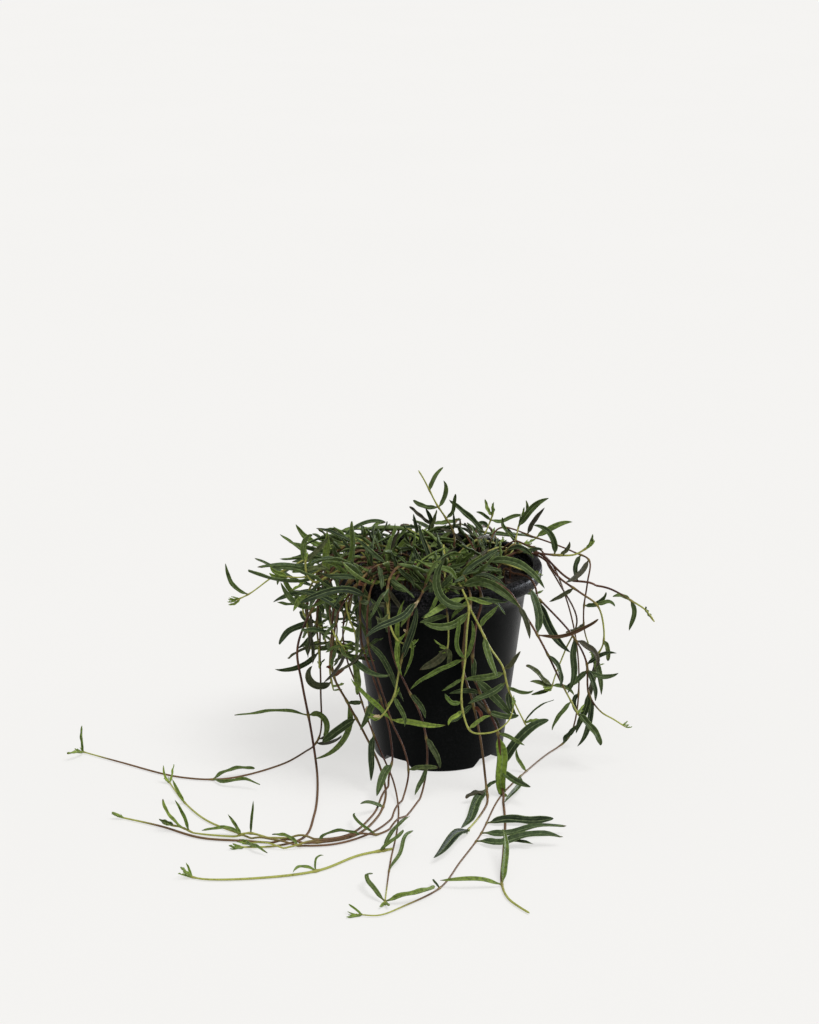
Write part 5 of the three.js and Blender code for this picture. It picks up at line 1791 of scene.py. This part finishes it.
def bark_skin():
    """Bark bits from near black to tan, each with its own tone."""
    material, tree, shader = new_material("bark_skin")
    chance = value_of(tree, "chance")
    fibre = noise_of(tree, 600.0, 5.0, 0.7)
    colour = blend_colours(tree, mapped(tree, chance, 0.2, 0.85), BARK_DARK, BARK_BROWN)
    colour = blend_colours(tree, mapped(tree, chance, 0.93, 0.97), colour, BARK_TAN)
    colour = blend_colours(tree, mapped(tree, fibre, 0.45, 0.75, 0.0, 0.6), colour, BARK_FIBRE)
    finish_skin(tree, shader, colour, 0.8, 0.3)
    bumped(tree, shader, fibre, 0.8, 0.0006)
    return material


FLOOR_DARK = (0.225, 0.223, 0.219)
FLOOR_LIGHT = (0.235, 0.233, 0.229)
FLOOR_GLOW = (1.0, 0.99, 0.972, 1)
FLOOR_GLOW_POWER = 0.637


def floor_skin():
    material, tree, shader = new_material("floor_skin")
    faint = noise_of(tree, 3.0, 2.0, 0.5)
    colour = blend_colours(tree, faint, FLOOR_DARK, FLOOR_LIGHT)
    finish_skin(tree, shader, colour, 0.95, 0.0)
    shader.inputs["Emission Color"].default_value = FLOOR_GLOW
    shader.inputs["Emission Strength"].default_value = FLOOR_GLOW_POWER
    return material


ARC_SHARE = 0.48


def rounded(profile, arc_parts=5):
    """A profile of [radius, z, fillet] corners with each fillet drawn as an arc."""
    outline = []
    for n, (radius, z, fillet) in enumerate(profile):
        if fillet == 0 or n in (0, len(profile) - 1):
            outline.append((radius, z))
            continue
        corner = Vector((radius, z))
        before = Vector(profile[n - 1][:2]) - corner
        after = Vector(profile[n + 1][:2]) - corner
        reach = min(fillet, before.length * ARC_SHARE, after.length * ARC_SHARE)
        start = corner + before.normalized() * reach
        end = corner + after.normalized() * reach
        for m in range(arc_parts + 1):
            t = m / arc_parts
            bend = start * (1 - t) ** 2 + corner * (2 * t * (1 - t)) + end * t**2
            outline.append((bend.x, bend.y))
    return outline


POT_SIDES = 160
DRAIN_TOP_SHARE = 0.72
DRAIN_BOTTOM_SHARE = 1.3
DRAIN_LENGTH = FOOT_WIDTH + 8
DRAIN_TALL = FOOT_HEIGHT + 2
DRAIN_INSET = 3
SHARP_FROM = 40


def turned(surface, outline, sides, **values):
    """Turns an outline round Z. It starts and ends on the axis."""
    inner = outline[1:-1]
    points = [
        polar(radius, n * 360 / sides, z) for radius, z in inner for n in range(sides)
    ] + [(0, 0, outline[0][1]), (0, 0, outline[-1][1])]
    surface.add(points, ring_faces(len(inner), sides), **values)


def pot_outline():
    """The pot's section, from the boss under it round the foot and the collar to the inner floor."""
    foot_inner = BASE_RADIUS - FOOT_WIDTH
    inner_floor = pot_radius(POT_FLOOR) - WALL
    return rounded([
        (0, 0, 0),
        (BOSS_RADIUS, 0, 0.8),
        (BOSS_RADIUS, FOOT_HEIGHT, 0.8),
        (foot_inner, FOOT_HEIGHT, 0.8),
        (foot_inner, 0, 0.8),
        (BASE_RADIUS - 0.2, 0, 1.6),
        (pot_radius(3), 3, 0),
        (SHOULDER_RADIUS, SHOULDER, 5),
        (RIM_RADIUS - 1.2, SHOULDER + 6.3, 3.4),
        (RIM_RADIUS, SHOULDER + 10, 2),
        (RIM_RADIUS, POT_HEIGHT, 3.2),
        (LIP_INNER, POT_HEIGHT, 2.6),
        (LIP_INNER, POT_HEIGHT - 4, 1),
        (INNER_SHOULDER, SHOULDER, 3),
        (inner_floor, POT_FLOOR, 2),
        (0, POT_FLOOR, 0),
    ])


def drain_cutter(azimuth):
    """A block, wider below than above, that opens the foot at an azimuth."""
    bpy.ops.mesh.primitive_cube_add(size=1)
    tool = bpy.context.object
    for corner in tool.data.vertices:
        corner.co.y *= DRAIN_TOP_SHARE if corner.co.z > 0 else DRAIN_BOTTOM_SHARE
    reach = BASE_RADIUS - FOOT_WIDTH - DRAIN_INSET + DRAIN_LENGTH / 2
    tool.scale = (DRAIN_LENGTH * MM, DRAIN_WIDTH * MM, DRAIN_TALL * MM)
    x, y, z = polar(reach, azimuth, FOOT_HEIGHT - DRAIN_TALL / 2)
    tool.location = (x * MM, y * MM, z * MM)
    tool.rotation_euler = (0, 0, azimuth * DEGREE)
    return tool


def cut_drains(piece):
    tools = [drain_cutter(DRAIN_START + n * 360 / DRAIN_COUNT) for n in range(DRAIN_COUNT)]
    for tool in tools:
        cut = piece.modifiers.new("drain", "BOOLEAN")
        cut.operation = "DIFFERENCE"
        cut.solver = "EXACT"
        cut.object = tool
    bpy.context.view_layer.update()
    kept = bpy.data.meshes.new_from_object(piece.evaluated_get(bpy.context.evaluated_depsgraph_get()))
    piece.modifiers.clear()
    piece.data = kept
    for tool in tools:
        bpy.data.objects.remove(tool)


def dress_pot():
    surface = Surface()
    turned(surface, pot_outline(), POT_SIDES)
    piece = surface.to_object("moulded_pot", POT_PLASTIC)
    cut_drains(piece)
    piece.data.polygons.foreach_set("use_smooth", [True] * len(piece.data.polygons))
    piece.data.set_sharp_from_angle(angle=SHARP_FROM * DEGREE)
    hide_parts("pot")
    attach(piece, "root")


SOIL_RINGS = 40
SOIL_SIDES = 96
SOIL_EDGE = 55.2
SOIL_EDGE_RISE = 4.5
BROAD_SCALE = 0.05
BROAD_LEVEL = 3.1
FINE_SCALE = 0.3
FINE_LEVEL = 7.7
FINE_LUMP = 0.9


def soil_height(x, y):
    broad = noise.noise(Vector((x * BROAD_SCALE, y * BROAD_SCALE, BROAD_LEVEL)))
    fine = noise.noise(Vector((x * FINE_SCALE, y * FINE_SCALE, FINE_LEVEL)))
    return SOIL_TOP + SOIL_LUMP * broad + FINE_LUMP * fine


def dress_soil():
    surface = Surface()
    outline = [(0, POT_FLOOR + SOIL_GAP), (pot_radius(POT_FLOOR) - WALL - SOIL_GAP, POT_FLOOR + SOIL_GAP)]
    outline += [(INNER_SHOULDER - SOIL_GAP, SHOULDER), (SOIL_EDGE, SHOULDER + SOIL_EDGE_RISE)]
    outline += [(SOIL_EDGE * (1 - (n + 1) / SOIL_RINGS), SOIL_TOP) for n in range(SOIL_RINGS)]
    turned(surface, outline, SOIL_SIDES)
    surface.points = [
        (x, y, soil_height(x, y)) if z >= SOIL_TOP else (x, y, z) for x, y, z in surface.points
    ]
    piece = surface.to_object("potting_mix", SOIL_SKIN)
    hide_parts("soil")
    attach(piece, "root")


BARK_BITS = 330
BARK_REACH = 53
BARK_SIZE = (0.9, 3.4)
BARK_WIDTH = (0.5, 0.9)
BARK_HEIGHT = (0.25, 0.55)
BARK_TILT = 0.5
BARK_CLEAR = 1.6
BARK_SUNK = 0.45
BARK_ROUGH = 0.35
BARK_ROUGH_SCALE = 1.7


def ball_points():
    shape = bmesh.new()
    bmesh.ops.create_icosphere(shape, subdivisions=1, radius=1)
    points = [tuple(v.co) for v in shape.verts]
    faces = [tuple(v.index for v in face.verts) for face in shape.faces]
    shape.free()
    return points, faces


def dress_bark(vines, draw):
    """Loose bits of bark that lie on the mix, clear of the stems."""
    surface = Surface("chance")
    ball, faces = ball_points()
    feet = [vine["stems"][0]["line"][3] for vine in vines]
    for _ in range(BARK_BITS):
        radius = BARK_REACH * math.sqrt(draw())
        x, y, _z = polar(radius, 360 * draw(), 0)
        size = between(draw, *BARK_SIZE) * (0.6 + 0.6 * draw())
        shape = (size, size * between(draw, *BARK_WIDTH), size * between(draw, *BARK_HEIGHT))
        turn = Matrix.Rotation(between(draw, 0, 2 * math.pi), 3, "Z")
        tilt = Matrix.Rotation(between(draw, -BARK_TILT, BARK_TILT), 3, "X")
        chance = draw()
        if any(math.hypot(x - foot[0], y - foot[1]) < size + BARK_CLEAR for foot in feet):
            continue
        middle = Vector((x, y, soil_height(x, y) + shape[2] * BARK_SUNK))
        points = []
        for corner in ball:
            bumps = noise.noise(Vector(corner) * BARK_ROUGH_SCALE + Vector((x, y, chance)))
            rough = 1 + BARK_ROUGH * bumps
            part = Vector((corner[0] * shape[0], corner[1] * shape[1], corner[2] * shape[2])) * rough
            points.append(tuple(middle + turn @ (tilt @ part)))
        surface.add(points, faces, chance=chance)
    piece = surface.to_object("bark_bits", BARK_SKIN, even=False)
    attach(piece, "root")


CAMERA_PLACE = (0.0, -1.40954, 0.57503)
CAMERA_AIM = (-0.01879, 0.03148, 0.1485)
CAMERA_LENS = 82.79
SENSOR = 36
FLOOR_SIZE = 60
WORLD_STRENGTH = 0.5
WORLD_COLOUR = (1.0, 0.995, 0.985, 1)
SUN_PLACE = (0.4, -0.25, 1.0)
SUN_POWER = 2.4
SUN_SPREAD = 30
STRIP_COLOUR = (0.88, 0.92, 1.0)
STRIP_HEIGHT = 0.3
RIGHT_STRIP_PLACE = (0.7, 0.32, 0.16)
RIGHT_STRIP_POWER = 13.0
RIGHT_STRIP_WIDTH = 0.7
LEFT_STRIP_PLACE = (-0.75, 0.3, 0.16)
LEFT_STRIP_POWER = 2.5
LEFT_STRIP_WIDTH = 0.4


def facing(place, aim):
    return (Vector(aim) - Vector(place)).to_track_quat("-Z", "Y").to_euler()


def add_light(kind, name, place, aim, power):
    light = bpy.data.lights.new(name, kind)
    light.energy = power
    made = bpy.data.objects.new(name, light)
    made.location = place
    made.rotation_euler = facing(place, aim)
    bpy.context.scene.collection.objects.link(made)
    return made


def add_strip(name, place, power, width):
    """A soft box low beside the pot, for the sheen on the pot's edge and the leaves."""
    strip = add_light("AREA", name, place, (0, 0, place[2]), power)
    strip.visible_diffuse = False
    strip.data.color = STRIP_COLOUR
    strip.data.shape = "RECTANGLE"
    strip.data.size = width
    strip.data.size_y = STRIP_HEIGHT


def set_world():
    world = bpy.data.worlds.new("studio")
    bpy.context.scene.world = world
    world.use_nodes = True
    background = world.node_tree.nodes["Background"]
    background.inputs["Color"].default_value = WORLD_COLOUR
    background.inputs["Strength"].default_value = WORLD_STRENGTH


def set_floor():
    bpy.ops.mesh.primitive_plane_add(size=FLOOR_SIZE)
    floor = bpy.context.object
    floor.name = "floor"
    floor.data.materials.append(floor_skin())


def set_camera():
    camera = bpy.data.objects.new("camera", bpy.data.cameras.new("camera"))
    camera.data.lens = CAMERA_LENS
    camera.data.sensor_fit = "VERTICAL"
    camera.data.sensor_height = SENSOR
    camera.location = CAMERA_PLACE
    camera.rotation_euler = facing(CAMERA_PLACE, CAMERA_AIM)
    bpy.context.scene.collection.objects.link(camera)
    bpy.context.scene.camera = camera


def set_stage():
    bpy.context.scene.view_settings.view_transform = "Standard"
    set_world()
    set_floor()
    sun = add_light("SUN", "key", SUN_PLACE, (0, 0, 0), SUN_POWER)
    sun.data.angle = SUN_SPREAD * DEGREE
    add_strip("right_strip", RIGHT_STRIP_PLACE, RIGHT_STRIP_POWER, RIGHT_STRIP_WIDTH)
    add_strip("left_strip", LEFT_STRIP_PLACE, LEFT_STRIP_POWER, LEFT_STRIP_WIDTH)
    set_camera()


LEAF_SKIN = leaf_skin()
STEM_SKIN = stem_skin()
POT_PLASTIC = pot_plastic()
SOIL_SKIN = soil_skin()
BARK_SKIN = bark_skin()

plant = grow_plant()
grow_extra_leaves(plant)
looks = seeded(LOOK_SEED)
for vine in plant:
    dress_vine(vine, looks)
dress_pot()
dress_soil()
dress_bark(plant, looks)
set_stage()

print("leaves", sum(len(vine["leaves"]) for vine in plant))
